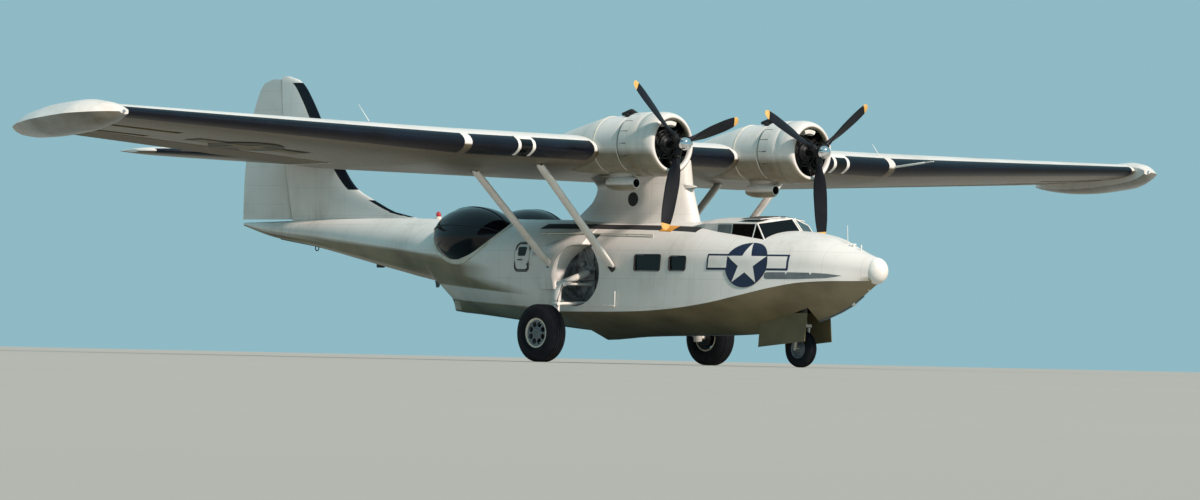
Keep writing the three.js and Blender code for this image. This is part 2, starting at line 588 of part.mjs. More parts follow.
// Nacelle rings. Columns: station, radius, height of its middle
const NACELLE_ROWS = [
  [4960.3, 520, 3950],
  [5050, 585, 3950],
  [5700, 585, 3945],
  [6300, 520, 3890],
  [7000, 400, 3830],
  [7700, 250, 3760],
  [8200, 90, 3700],
];
const NACELLE_SIDES = 20;
function roundRing([station, radius, height], x) {
  return Array.from({ length: NACELLE_SIDES }, (_, i) => {
    const turn = i / NACELLE_SIDES * Math.PI * 2;
    return new THREE.Vector3(x + radius * Math.cos(turn), station, height + radius * Math.sin(turn));
  });
}
const COOLER = { neck: 190, height: 3170, front: 5040, rear: 5830 };
function nacelleBody(x) {
  const shell = loft(NACELLE_ROWS.map((row) => roundRing(row, x)));
  const scoopRows = [[COOLER.front, 120], [COOLER.front + 150, 150], [COOLER.rear - 150, 140],
    [COOLER.rear, 105]];
  const scoop = loft(scoopRows.map(([station, radius]) => roundRing([station, radius, COOLER.height], x)));
  const neck = box(x - COOLER.neck / 2, x + COOLER.neck / 2, COOLER.front + 130, COOLER.rear - 100,
    COOLER.height, NACELLE.height - 350);
  return cut(join(shell, scoop, neck), wingCutter);
}
const ENGINE = { front: 4130, rear: 4960, core: 230, row1: 4300, row2: 4490, cylinders: 7, cylinderRadius: 95,
  reach: 590 };
function engineBody() {
  const core = turned([[0, 0], [120, 0], [190, 60], [ENGINE.core, 140], [ENGINE.core, 430], [430, 440],
    [430, ENGINE.rear - ENGINE.front], [0, ENGINE.rear - ENGINE.front]], 12).translate(0, ENGINE.front, 0);
  const baffle = turned([[0, 428], [COWL.inner - 0.5, 428], [COWL.inner - 0.5, 446], [0, 446]], COWL.sides)
    .translate(0, ENGINE.front, 0);
  const parts = [core, baffle];
  [ENGINE.row1, ENGINE.row2].forEach((station, row) => {
    for (let i = 0; i < ENGINE.cylinders; i += 1) {
      const turn = (i + row / 2) / ENGINE.cylinders * Math.PI * 2;
      const aim = [Math.sin(turn), Math.cos(turn)];
      parts.push(bar([aim[0] * 190, station, aim[1] * 190], [aim[0] * ENGINE.reach, station,
        aim[1] * ENGINE.reach], ENGINE.cylinderRadius, ENGINE.cylinderRadius, 6));
    }
  });
  return join(...parts);
}
const cowlProfile = [[COWL.opening, 60], [COWL.opening + 15, 15], [COWL.opening + 55, 0],
  [COWL.opening + 95, 25], [625, 110], [COWL.radius, 260], [COWL.radius, 560], [640, COWL.rear - COWL.front],
  [622, COWL.rear - COWL.front], [COWL.inner, 560], [COWL.inner, 270], [605, 130]];

// Propeller: a hub and dome with three twisted blades.
// Columns: radius, chord, thickness, blade angle in degrees
const BLADE = [
  [90, 110, 105, 50],
  [330, 130, 95, 50],
  [560, 235, 50, 42],
  [900, 290, 34, 32],
  [1300, 280, 24, 25],
  [1620, 225, 17, 20],
  [1750, 140, 12, 18],
  [PROPELLER.radius, 55, 8, 18],
];
function bladeBody(turn) {
  const rings = BLADE.map(([radius, chord, thickness, angle]) => {
    const pitch = angle * Math.PI / 180;
    return Array.from({ length: 8 }, (_, i) => {
      const round = i / 8 * Math.PI * 2;
      const across = Math.cos(round) * chord / 2;
      const deep = Math.sin(round) * thickness / 2;
      return new THREE.Vector3(radius, -(across * Math.sin(pitch) + deep * Math.cos(pitch)),
        across * Math.cos(pitch) - deep * Math.sin(pitch));
    });
  });
  return loft(rings).rotateY(-turn);
}
function propellerBody(firstAngle) {
  const shaftEnd = ENGINE.front - PROPELLER.plane - FIT_GAP;
  const tip = PROPELLER.domeTip - PROPELLER.plane;
  const hub = turned([[0, tip], [70, tip + 10],
    [PROPELLER.dome * 0.8, -200], [PROPELLER.dome * 0.85, -110], [PROPELLER.hub, -90], [PROPELLER.hub, 90],
    [80, 110], [80, shaftEnd], [0, shaftEnd]], 12);
  const blades = [0, 1, 2].map((i) => bladeBody((firstAngle + i * 120) * Math.PI / 180));
  return join(hub, ...blades);
}
[['port', 1], ['starboard', -1]].forEach(([name, side]) => {
  add(`nacelle_${name}`, nacelleBody(side * NACELLE.offset), whitePaint);
  const pod = new THREE.Group();
  pod.position.set(side * NACELLE.offset, 0, NACELLE.height);
  airframe.add(pod);
  add(`engine_${name}`, engineBody(), darkMetal, pod);
  const cowl = turned([...cowlProfile, cowlProfile[0]], COWL.sides).translate(0, COWL.front, 0);
  add(`cowling_${name}`, cowl, whitePaint, pod);
  const propeller = add(`propeller_${name}`, propellerBody(BLADE_ANGLES[name]), blackPaint, pod);
  propeller.position.set(0, PROPELLER.plane, 0);
});

// Fin. Columns: height, leading-edge station, half-thickness
const FIN = [
  [2300, 13000, 50],
  [2565, 13850, 60],
  [2660, 14400, 68],
  [2870, 14980, 85],
  [3200, 15720, 110],
  [3790, 16270, 130],
  [4500, 16800, 115],
  [5210, 17280, 85],
  [5510, 17540, 65],
  [5650, 17800, 50],
  [5700, 18040, 30],
];
const FIN_STEPS = 5;
function hingeStation(height) {
  const share = (height - TAIL.hingeLowHeight) / (TAIL.hingeHighHeight - TAIL.hingeLowHeight);
  return TAIL.hingeLow + (TAIL.hingeHigh - TAIL.hingeLow) * share;
}
function finRing([height, front, half], rear, grow = 0) {
  const outline = [];
  for (let i = 0; i <= FIN_STEPS; i += 1) {
    const share = (1 - Math.cos(Math.PI / 2 * i / FIN_STEPS));
    outline.push([(half + grow) * Math.sin(Math.PI / 2 * Math.min(1, Math.sqrt(share) * 1.1)),
      front - grow + share * (rear - front)]);
  }
  outline[0][0] = 0;
  return [...outline, ...outline.slice(1).reverse().map(([x, y]) => [-x, y])]
    .map(([x, y]) => new THREE.Vector3(x, y, height));
}
// A pin on the rudder's raked hinge line, between two heights
function rudderPin(low, high) {
  return bar([0, hingeStation(low), low], [0, hingeStation(high), high], 24, 24, 10);
}
function finBody(grow = 0) {
  return loft(FIN.map((row) => finRing(row, hingeStation(row[0]) - RUDDER.nose - RUDDER.gap, grow)));
}

// Tailplane and elevators. Columns: distance out, leading-edge station, trailing-edge station, thickness
const TAIL_ROWS = [
  [0, 16000, 18800, 330],
  [3600, 16800, 18640, 210],
  [4300, 17010, 18520, 170],
  [4600, 17280, 18330, 120],
  [TAILPLANE.halfSpan, 17600, 18100, 60],
];
function tailRing([x, front, rear, thick], side, grow = 0) {
  return aerofoil(rear - front, thick / (rear - front), 0, grow)
    .map(([along, up]) => new THREE.Vector3(side * x, front + along, TAILPLANE.height + up));
}
const tailPanel = loft([...TAIL_ROWS.slice(1).reverse().map((row) => tailRing(row, -1)),
  ...TAIL_ROWS.map((row) => tailRing(row, 1))]);
const tailGrown = loft([...TAIL_ROWS.slice(1).reverse().map((row) => tailRing(row, -1, FIT_GAP)),
  ...TAIL_ROWS.map((row) => tailRing(row, 1, FIT_GAP))]);
const ELEVATOR = { hinge: 17780, nose: 88, outer: 4120, inner: 170, cutSlope: Math.tan(24 * Math.PI / 180) };
const elevatorZone = (inner, outer, ahead, side) => {
  const shape = new THREE.Shape();
  shape.moveTo(inner, ELEVATOR.hinge - ahead);
  shape.lineTo(outer, ELEVATOR.hinge - ahead);
  shape.lineTo(outer, 20000);
  shape.lineTo(inner + (20000 - ELEVATOR.hinge) * ELEVATOR.cutSlope, 20000);
  if (ahead === 0) shape.lineTo(inner, ELEVATOR.hinge);
  const slab = new THREE.ExtrudeGeometry(shape, { depth: 2000, bevelEnabled: false }).translate(0, 0, 2800);
  return side < 0 ? mirroredLoose(slab) : slab;
};
function mirroredLoose(geometry) {
  return mirrored(geometryOf(solid(geometry)));
}
const elevatorSlot = box(-ELEVATOR.outer - 15, ELEVATOR.outer + 15,
  ELEVATOR.hinge - ELEVATOR.nose - HINGE_GAP, 20000, 2800, 4800);
const tailCentreRib = box(-60, 60, 17000, ELEVATOR.hinge + 180, 2800, 4800);
const elevatorPins = [-1, 1].flatMap((side) => [[60 - 5, ELEVATOR.inner - FIT_GAP], [ELEVATOR.outer + FIT_GAP,
  ELEVATOR.outer + 60]].map(([from, to]) => bar([side * from, ELEVATOR.hinge, TAILPLANE.height], [side * to,
  ELEVATOR.hinge, TAILPLANE.height], 28, 28, 10)));
const tailplane = join(cut(tailPanel, elevatorSlot), common(tailPanel, tailCentreRib), ...elevatorPins);
const tailGrownCut = join(cut(tailGrown, elevatorSlot), common(tailGrown, tailCentreRib));
add('tailplane', tailplane, whitePaint);
const torqueTubeHole = bar([-200, ELEVATOR.hinge, TAILPLANE.height], [200, ELEVATOR.hinge, TAILPLANE.height],
  30, 30, 10);
add('fin', cut(finBody(), hullCutter, tailGrownCut, torqueTubeHole), whitePaint);
const elevatorNose = bar([ELEVATOR.inner, ELEVATOR.hinge, TAILPLANE.height], [ELEVATOR.outer, ELEVATOR.hinge,
  TAILPLANE.height], ELEVATOR.nose, 60, 14);
pair('elevator', join(common(tailPanel, elevatorZone(ELEVATOR.inner, ELEVATOR.outer, 0, 1)), elevatorNose),
  whitePaint);

// Rudder. Columns: height, trailing-edge station, half-thickness at the hinge
const RUDDER_ROWS = [
  [2530, 19490, 85],
  [3200, 19482, 88],
  [3950, 19420, 86],
  [4700, 19270, 74],
  [5340, 19030, 55],
  [5560, 18850, 42],
  [5640, 18600, 30],
];
const rudder = loft(RUDDER_ROWS.map(([height, rear, half]) => {
  const hinge = hingeStation(height);
  const nose = Array.from({ length: 7 }, (_, i) => {
    const turn = Math.PI * i / 6;
    return [half * Math.cos(turn), hinge - half * Math.sin(turn)];
  });
  return [...nose, [-7, rear], [7, rear]].map(([x, y]) => new THREE.Vector3(x, y, height));
}));
add('rudder', join(rudder, rudderPin(RUDDER.pinTop + FIT_GAP, 2600)), whitePaint);

// Main wheels and their legs
const WHEEL_SIDES = 20;
function tyreBody(radius, width, rim) {
  const half = width / 2;
  const wall = (rim + radius) / 2;
  const profile = [[rim, -half * 0.72], [wall, -half], [radius - 60, -half * 0.82], [radius, -half * 0.35],
    [radius, half * 0.35], [radius - 60, half * 0.82], [wall, half], [rim, half * 0.72], [rim, -half * 0.72]];
  return turned(profile, WHEEL_SIDES).rotateZ(-Math.PI / 2);
}
const HUB_HOLES = 8;
function wheelHub(radius, width, bore) {
  const half = width / 2;
  const disc = turned([[bore, -half * 0.6], [bore + 60, -half * 0.6], [bore + 70, -half * 0.15],
    [radius - 60, -half * 0.15], [radius - FIT_GAP, -half * 0.7],
    [radius - FIT_GAP, half * 0.7], [radius - 60, half * 0.15], [bore + 70, half * 0.15],
    [bore + 60, half * 0.6], [bore, half * 0.6], [bore, -half * 0.6]], WHEEL_SIDES)
    .rotateZ(-Math.PI / 2);
  const middle = (bore + 70 + radius - 45) / 2;
  const holes = Array.from({ length: HUB_HOLES }, (_, i) => {
    const turn = i / HUB_HOLES * Math.PI * 2;
    return new THREE.CylinderGeometry(38, 38, width, 6).rotateZ(Math.PI / 2)
      .translate(0, middle * Math.cos(turn), middle * Math.sin(turn));
  });
  return cut(disc, ...holes);
}
const AXLE_RADIUS = 45;
const axleHeight = MAIN_WHEEL.radius - KEEL_HEIGHT;
const LEG = { foot: [2090, 20], knee: [2040, 990], head: [1930, 1120], wellX: WELL.depth + 40 };
const LEG_STRUTS = [[LEG.head, [LEG.wellX, 1400], 60], [LEG.head, [LEG.wellX, 1120], 32],
  [[2090, 700], [LEG.wellX, 745], 36]];
const inGearPlane = ([x, height]) => [x, MAIN_WHEEL.station, height];
const mainLeg = join(bar([LEG.foot[0] - 60, MAIN_WHEEL.station, axleHeight], [MAIN_WHEEL.x + 150,
  MAIN_WHEEL.station, axleHeight], AXLE_RADIUS - 1, AXLE_RADIUS - 1, 12),
bar(inGearPlane(LEG.foot), inGearPlane(LEG.knee), 70, 62, 10),
bar(inGearPlane(LEG.knee), inGearPlane(LEG.head), 60, 60, 10),
...LEG_STRUTS.map(([from, to, radius]) => bar(inGearPlane(from), inGearPlane(to), radius, radius, 8)),
box(WELL.depth + FIT_GAP, WELL.depth + 60, MAIN_WHEEL.station - 80, MAIN_WHEEL.station + 80, 690, 1500));
pair('main_leg', cut(mainLeg, cut(hullCutter, wheelWell(1))), whitePaint);
[['port', 1], ['starboard', -1]].forEach(([name, side]) => {
  const hub = new THREE.Group();
  hub.position.set(side * MAIN_WHEEL.x, MAIN_WHEEL.station, axleHeight);
  airframe.add(hub);
  add(`main_tyre_${name}`, tyreBody(MAIN_WHEEL.radius, MAIN_WHEEL.width, MAIN_WHEEL.rim), rubber, hub);
  add(`main_hub_${name}`, wheelHub(MAIN_WHEEL.rim, MAIN_WHEEL.width, AXLE_RADIUS), bareMetal, hub);
});

// Nose leg, steering fork, nose wheel and the open doors beside it
const NOSE_BORE = 30;
const noseAxle = NOSE_WHEEL.radius - KEEL_HEIGHT;
const steer = NOSE_WHEEL.steerStation;
const noseLeg = join(bar([0, steer, 500], [0, steer, NOSE_BAY.roof - FIT_GAP], 75),
  bar([0, steer, 620], [0, NOSE_BAY.rear - 215, NOSE_BAY.roof - 90], 40),
  box(-120, 120, NOSE_BAY.rear - 330, NOSE_BAY.rear - 100, NOSE_BAY.roof - 120, NOSE_BAY.roof - FIT_GAP));
add('nose_leg', noseLeg, greyPaint);
const forkX = NOSE_WHEEL.width / 2 + 45;
const fork = join(bar([0, steer, 330], [0, steer, 500 - FIT_GAP], 70),
  box(-forkX - 30, forkX + 30, steer - 60, steer + 60, 310, 380),
  ...[forkX, -forkX].map((x) => bar([x, steer, 350], [x, NOSE_WHEEL.station, noseAxle - 40], 30)),
  bar([-forkX - 20, NOSE_WHEEL.station, noseAxle], [forkX + 20, NOSE_WHEEL.station, noseAxle],
    NOSE_BORE - 0.8, NOSE_BORE - 0.8, 14));
add('nose_fork', fork, greyPaint);
const noseHub = new THREE.Group();
noseHub.position.set(0, NOSE_WHEEL.station, noseAxle);
airframe.add(noseHub);
add('nose_tyre', tyreBody(NOSE_WHEEL.radius, NOSE_WHEEL.width, NOSE_WHEEL.rim), rubber, noseHub);
const noseDisc = turned([[NOSE_BORE, -70], [80, -70], [NOSE_WHEEL.rim - 40, -25],
  [NOSE_WHEEL.rim - FIT_GAP, -85], [NOSE_WHEEL.rim - FIT_GAP, 85],
  [NOSE_WHEEL.rim - 40, 25], [80, 70], [NOSE_BORE, 70], [NOSE_BORE, -70]], WHEEL_SIDES)
  .rotateZ(-Math.PI / 2);
add('nose_hub', noseDisc, bareMetal, noseHub);
const noseDoor = loft([[NOSE_BAY.front + 20, 30], [NOSE_BAY.rear - 20, -100]].map(([station, low]) => [
  [NOSE_BAY.halfWidth - 22, 620], [NOSE_BAY.halfWidth - FIT_GAP, 620], [NOSE_BAY.halfWidth + 60, low],
  [NOSE_BAY.halfWidth + 38, low]].map(([x, z]) => new THREE.Vector3(x, station, z))));
pair('nose_door', cut(noseDoor, cut(hullCutter, noseBay)), whitePaint);

export default group;
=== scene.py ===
"""Looks of a twin-engined amphibious flying boat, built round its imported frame.

Metres. +Z is up, the nose points to -Y and +X is the port side. Shapes are drawn in hull measure: x to port,
station aft of the nose and height above the keel's step. hull_point turns them into the frame's measure.
"""

import math

import bmesh
import bpy
from mathutils import Matrix, Vector


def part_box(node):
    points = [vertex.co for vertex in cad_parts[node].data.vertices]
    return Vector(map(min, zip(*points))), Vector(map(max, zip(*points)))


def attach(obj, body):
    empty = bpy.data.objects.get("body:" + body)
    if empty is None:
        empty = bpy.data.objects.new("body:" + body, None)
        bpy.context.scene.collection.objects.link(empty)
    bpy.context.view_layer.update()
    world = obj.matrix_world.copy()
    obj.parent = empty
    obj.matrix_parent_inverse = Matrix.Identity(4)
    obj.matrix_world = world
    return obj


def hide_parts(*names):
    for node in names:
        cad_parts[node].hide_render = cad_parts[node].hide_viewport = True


bl_info = {
    "name": "Amphibian flying boat",
    "version": (1, 0, 0),
    "blender": (4, 5, 0),
    "location": "3D View > Sidebar > Amphibian",
    "description": "Builds the skins, engines, glazing, gear and fittings of an amphibious flying boat",
    "category": "Object",
}

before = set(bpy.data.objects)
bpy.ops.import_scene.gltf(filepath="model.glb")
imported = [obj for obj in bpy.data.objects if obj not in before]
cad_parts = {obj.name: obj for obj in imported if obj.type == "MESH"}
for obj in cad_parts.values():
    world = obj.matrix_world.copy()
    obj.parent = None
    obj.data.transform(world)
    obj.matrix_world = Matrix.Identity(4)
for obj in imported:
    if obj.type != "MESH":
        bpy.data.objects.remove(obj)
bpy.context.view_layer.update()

# Driving dimensions that follow the frame
NOSE_GAP = 0.030
STATION_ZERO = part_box("nose_cap")[0].y - NOSE_GAP
KEEL_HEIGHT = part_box("hull_centre")[0].z
SIDES = (("port", 1), ("starboard", -1))


def hull_point(x, station, height):
    """A place in hull measure, as a point of the frame."""
    return Vector((x, STATION_ZERO + station, KEEL_HEIGHT + height))


# Hull sections. Columns: station, keel, chine half-breadth, chine height, tuck half-breadth, tuck height,
# side half-breadth, height where the side turns in to the deck, deck height
HULL = (
    (0.24, 1.20, 0.16, 1.262, 0.205, 1.34, 0.232, 1.462, 1.722),
    (0.50, 1.02, 0.38, 1.25, 0.385, 1.33, 0.378, 1.475, 1.795),
    (0.93, 0.74, 0.64, 1.24, 0.64, 1.33, 0.61, 1.49, 1.95),
    (1.50, 0.52, 0.89, 1.205, 0.88, 1.33, 0.84, 1.50, 2.16),
    (2.10, 0.36, 1.09, 1.10, 1.07, 1.25, 1.02, 1.52, 2.245),
    (2.80, 0.24, 1.27, 0.94, 1.245, 1.12, 1.18, 1.54, 2.28),
    (3.65, 0.16, 1.42, 0.76, 1.39, 0.98, 1.32, 1.56, 2.35),
    (4.60, 0.125, 1.515, 0.635, 1.48, 0.88, 1.42, 1.58, 2.43),
    (5.60, 0.11, 1.55, 0.575, 1.51, 0.84, 1.46, 1.60, 2.45),
    (6.60, 0.08, 1.55, 0.56, 1.515, 0.83, 1.475, 1.60, 2.465),
    (7.86, 0.0, 1.54, 0.555, 1.515, 0.83, 1.475, 1.61, 2.48),
    (7.90, 0.165, 1.50, 0.59, 1.50, 0.85, 1.47, 1.61, 2.48),
    (8.38, 0.20, 1.42, 0.605, 1.465, 0.88, 1.455, 1.62, 2.49),
    (9.50, 0.295, 1.16, 0.64, 1.34, 0.96, 1.39, 1.64, 2.50),
    (10.6, 0.40, 0.82, 0.69, 1.15, 1.06, 1.30, 1.66, 2.51),
    (11.6, 0.49, 0.43, 0.735, 0.90, 1.16, 1.18, 1.70, 2.52),
    (12.5, 0.57, 0.045, 0.78, 0.64, 1.24, 1.05, 1.75, 2.52),
    (12.62, 1.09, 0.26, 1.12, 0.62, 1.29, 1.03, 1.76, 2.52),
    (13.5, 1.275, 0.24, 1.30, 0.56, 1.44, 0.86, 1.85, 2.535),
    (14.5, 1.46, 0.22, 1.485, 0.49, 1.61, 0.69, 1.94, 2.545),
    (15.7, 1.69, 0.18, 1.71, 0.39, 1.81, 0.50, 2.06, 2.54),
    (16.92, 1.92, 0.13, 1.935, 0.27, 2.00, 0.33, 2.18, 2.52),
    (18.41, 2.13, 0.07, 2.145, 0.135, 2.19, 0.16, 2.29, 2.48),
    (19.43, 2.38, 0.02, 2.385, 0.038, 2.40, 0.045, 2.42, 2.46),
)
RING_SPACING = 0.14
BULKHEADS = (4.40, 8.40, 12.30)
WALL = 0.06
FIT_GAP = 0.0003

# Wing: where the outer panels start, the tip, root and tip sections
WING_JOINT = 6.22
WING_TIP = 14.80
# Columns: span place, leading-edge station, chord, height, thickness share
WING_PLAN = ((WING_JOINT, 5.58, 4.572, 3.84, 0.155), (WING_TIP, 6.07, 2.85, 4.08, 0.125))
INCIDENCE = math.radians(6)
CAMBER = 0.022
AILERON = {"inner": 7.0, "outer": 14.15, "share": 0.75, "end_gap": 0.03, "inset": 0.025, "running": 0.012}
ENGINE_X = 2.045
ENGINE_HEIGHT = 3.95
BLADE_ANGLES = {"port": 35, "starboard": 18}


def colour(hex_text, alpha=1.0):
    """An sRGB hex value as the linear colour that a shader reads."""
    parts = [int(hex_text[i:i + 2], 16) / 255 for i in (1, 3, 5)]
    return (*[c / 12.92 if c <= 0.04045 else ((c + 0.055) / 1.055) ** 2.4 for c in parts], alpha)


class PaintColours(bpy.types.PropertyGroup):
    """Colours of the finishes, which a user would change"""

    white: bpy.props.StringProperty(name="White enamel", description="Hull and wing paint, sRGB hex",
                                    default="#dad8d3")
    fabric: bpy.props.StringProperty(name="Doped fabric", description="Control surfaces, sRGB hex",
                                     default="#d3d1cc")
    grime: bpy.props.StringProperty(name="Grime", description="Water and oil staining, sRGB hex",
                                    default="#8d8571")
    # The oil colour blotches only the faces that look down, as part of their painted shade
    oil: bpy.props.StringProperty(name="Oil", description="Darkest stains under the hull and wing, sRGB hex",
                                  default="#564c31")
    boot: bpy.props.StringProperty(name="De-icer boot", description="Rubber leading edges, sRGB hex",
                                   default="#060a14")
    insignia: bpy.props.StringProperty(name="Insignia blue", description="Disc and border, sRGB hex",
                                       default="#14213d")
    bay: bpy.props.StringProperty(name="Bay grey", description="Wheel wells, sRGB hex",
                                  default="#83878a")
    tip: bpy.props.StringProperty(name="Blade tips", description="Warning paint on the blades, sRGB hex",
                                  default="#dcb064")


class AirframeSizes(bpy.types.PropertyGroup):
    """Sizes that a user would change"""

    seam_width: bpy.props.FloatProperty(name="Seam width", description="Drawn width of plate seams",
                                        default=0.009, unit="LENGTH")
    frame_pitch: bpy.props.FloatProperty(name="Frame pitch", description="Between the hull's frames",
                                         default=0.72, unit="LENGTH")
    rib_pitch: bpy.props.FloatProperty(name="Rib pitch", description="Between the wing's ribs",
                                       default=0.42, unit="LENGTH")
    camera_distance: bpy.props.FloatProperty(name="Camera distance", description="From the object's middle",
                                             default=120.0, unit="LENGTH")
    floor_size: bpy.props.FloatProperty(name="Floor size", description="Half of the floor's side",
                                        default=400.0, unit="LENGTH")


# Small geometry tools


def monotone_row(table, value):
    """The row of a table at a value of its first column, on a smooth curve that never overshoots."""
    k = max(1, next((i for i, row in enumerate(table) if row[0] >= value), len(table) - 1))
    span = table[k][0] - table[k - 1][0]
    t = min(1.0, max(0.0, (value - table[k - 1][0]) / span))

    def slope(i, column):
        """The curve's slope at a row, 0 at the table's peaks."""
        if i == 0 or i == len(table) - 1:
            j = max(1, i)
            return (table[j][column] - table[j - 1][column]) / (table[j][0] - table[j - 1][0])
        before = (table[i][column] - table[i - 1][column]) / (table[i][0] - table[i - 1][0])
        after = (table[i + 1][column] - table[i][column]) / (table[i + 1][0] - table[i][0])
        return 0.0 if before * after <= 0 else 2 * before * after / (before + after)

    row = [value]
    for column in range(1, len(table[0])):
        a, b = table[k - 1][column], table[k][column]
        u, v = slope(k - 1, column) * span, slope(k, column) * span
        row.append(a + t * (u + t * (3 * (b - a) - 2 * u - v + t * (u + v - 2 * (b - a)))))
    return row


def spaced(first, last, spacing, extra=()):
    """Even places between two ends, with some extra ones among them."""
    count = max(1, round((last - first) / spacing))
    places = {round(first + (last - first) * i / count, 5) for i in range(count + 1)}
    return sorted(places | {e for e in extra if first < e < last})


def loft(rings, caps=True):
    """A closed skin through rings of points, made from a grid whose rows take the rings' places."""
    count = len(rings[0])
    bm = bmesh.new()
    bmesh.ops.create_grid(bm, x_segments=count, y_segments=len(rings) - 1, size=1.0)
    ordered = sorted(bm.verts, key=lambda v: (round(v.co.y, 6), round(v.co.x, 6)))
    for i, vert in enumerate(ordered):
        vert.co = rings[i // (count + 1)][(i % (count + 1)) % count]
    bmesh.ops.remove_doubles(bm, verts=bm.verts, dist=1e-6)
    if caps:
        bmesh.ops.holes_fill(bm, edges=[e for e in bm.edges if e.is_boundary], sides=0)
    bmesh.ops.recalc_face_normals(bm, faces=bm.faces)
    return bm


def spun(profile, axis_point, axis, steps=48):
    """A turned body: (radius, distance along the axis) points spun once round."""
    bm = bmesh.new()
    verts = [bm.verts.new((r, 0, y)) for r, y in profile]
    edges = [bm.edges.new(pair) for pair in zip(verts, verts[1:])]
    bmesh.ops.spin(bm, geom=verts + edges, cent=(0, 0, 0), axis=(0, 0, 1), angle=math.tau, steps=steps,
                   use_merge=True)
    bmesh.ops.remove_doubles(bm, verts=bm.verts, dist=1e-6)
    bmesh.ops.recalc_face_normals(bm, faces=bm.faces)
    turn = Vector((0, 0, 1)).rotation_difference(Vector(axis)).to_matrix().to_4x4()
    bmesh.ops.transform(bm, matrix=Matrix.Translation(axis_point) @ turn, verts=bm.verts)
    return bm


def tube(start, end, radius, end_radius=None, sides=24, bevel=0.0):
    """A round bar between two points."""
    start, end = Vector(start), Vector(end)
    bm = bmesh.new()
    bmesh.ops.create_cone(bm, cap_ends=True, segments=sides, radius1=radius,
                          radius2=radius if end_radius is None else end_radius, depth=(end - start).length)
    if bevel:
        rims = [e for e in bm.edges if len({round(v.co.z, 6) for v in e.verts}) == 1]
        bmesh.ops.bevel(bm, geom=rims, offset=bevel, segments=2, profile=0.5, affect="EDGES", material=-1)
    turn = Vector((0, 0, 1)).rotation_difference(end - start).to_matrix().to_4x4()
    bmesh.ops.transform(bm, matrix=Matrix.Translation((start + end) / 2) @ turn, verts=bm.verts)
    return bm


def rod(start, end, *sizes, **shape):
    """A round bar between two places in hull measure."""
    return tube(hull_point(*start), hull_point(*end), *sizes, **shape)


def spoke(turn, reach=1.0, aft=0.0):
    """An offset outward from a fore-and-aft axis, turned from straight up, and aft along it."""
    return Vector((reach * math.sin(turn), aft, reach * math.cos(turn)))


def turns(count, whole=False):
    """Even angles round a circle, with the first one again at the end for a whole round."""
    return [math.tau * i / count for i in range(count + whole)]


def bars(rows, sides=(1,)):
    """Round bars in hull measure, for each side. Columns: start, end, radius at each end."""
    made = []
    for side in sides:
        for start, end, radius, end_radius in rows:
            bar = rod(start, end, radius, end_radius, 20, min(radius, end_radius) * 0.15)
            made.append(mirrored(bar, side))
    return joined(made)


def block(low, high, bevel=0.0):
    """A box between two corners in hull measure, with its edges rounded."""
    low, high = hull_point(*low), hull_point(*high)
    bm = bmesh.new()
    bmesh.ops.create_cube(bm, size=1.0)
    bmesh.ops.scale(bm, vec=high - low, verts=bm.verts)
    bmesh.ops.translate(bm, vec=(low + high) / 2, verts=bm.verts)
    if bevel:
        bmesh.ops.bevel(bm, geom=list(bm.edges), offset=bevel, segments=2, profile=0.5, affect="EDGES",
                        material=-1)
    return bm


def ball(middle, scale, segments=32, rings=20):
    """An ellipsoid, its poles fore and aft."""
    bm = bmesh.new()
    bmesh.ops.create_uvsphere(bm, u_segments=segments, v_segments=rings, radius=1.0)
    bmesh.ops.rotate(bm, cent=(0, 0, 0), matrix=Matrix.Rotation(math.pi / 2, 3, "X"), verts=bm.verts)
    bmesh.ops.scale(bm, vec=scale, verts=bm.verts)
    bmesh.ops.translate(bm, vec=middle, verts=bm.verts)
    return bm


def prism(points, offset):
    """A slab through a flat outline, swept by an offset."""
    bm = bmesh.new()
    face = bm.faces.new([bm.verts.new(p) for p in points])
    grown = bmesh.ops.extrude_face_region(bm, geom=[face])["geom"]
    bmesh.ops.translate(bm, vec=offset, verts=[g for g in grown if isinstance(g, bmesh.types.BMVert)])
    bmesh.ops.recalc_face_normals(bm, faces=bm.faces)
    return bm


def rounded_outline(front, rear, low, high, corner, steps=6):
    """A rounded panel's outline as (station, height) pairs."""
    points = []
    middles = ((rear - corner, low + corner), (rear - corner, high - corner),
               (front + corner, high - corner), (front + corner, low + corner))
    for (middle_s, middle_h), first in zip(middles, (-90, 0, 90, 180)):
        for i in range(steps + 1):
            turn = math.radians(first + 90 * i / steps)
            points.append((middle_s + corner * math.cos(turn), middle_h + corner * math.sin(turn)))
    return points


def joined(parts):
    """A list of meshes in one, each kept as its own shell. A single mesh comes back as it is."""
    if not isinstance(parts, list):
        return parts
    whole = bmesh.new()
    for part in parts:
        mesh = bpy.data.meshes.new("part")
        part.to_mesh(mesh)
        part.free()
        whole.from_mesh(mesh)
        bpy.data.meshes.remove(mesh)
    return whole


def mirrored(bm, side):
    """The same mesh for port (side 1), or its mirror image for starboard (side -1)."""
    bm = joined(bm)
    if side < 0:
        bmesh.ops.scale(bm, vec=(-1, 1, 1), verts=bm.verts)
        bmesh.ops.recalc_face_normals(bm, faces=bm.faces)
    return bm


def loose_object(name, bm, finishes=""):
    """An object from a mesh in the making, or from a list of them, with its finishes by name."""
    bm = joined(bm)
    mesh = bpy.data.meshes.new(name)
    bm.to_mesh(mesh)
    bm.free()
    for finish in finishes.split():
        mesh.materials.append(MATERIALS[finish])
    made = bpy.data.objects.new(name, mesh)
    bpy.context.scene.collection.objects.link(made)
    return made


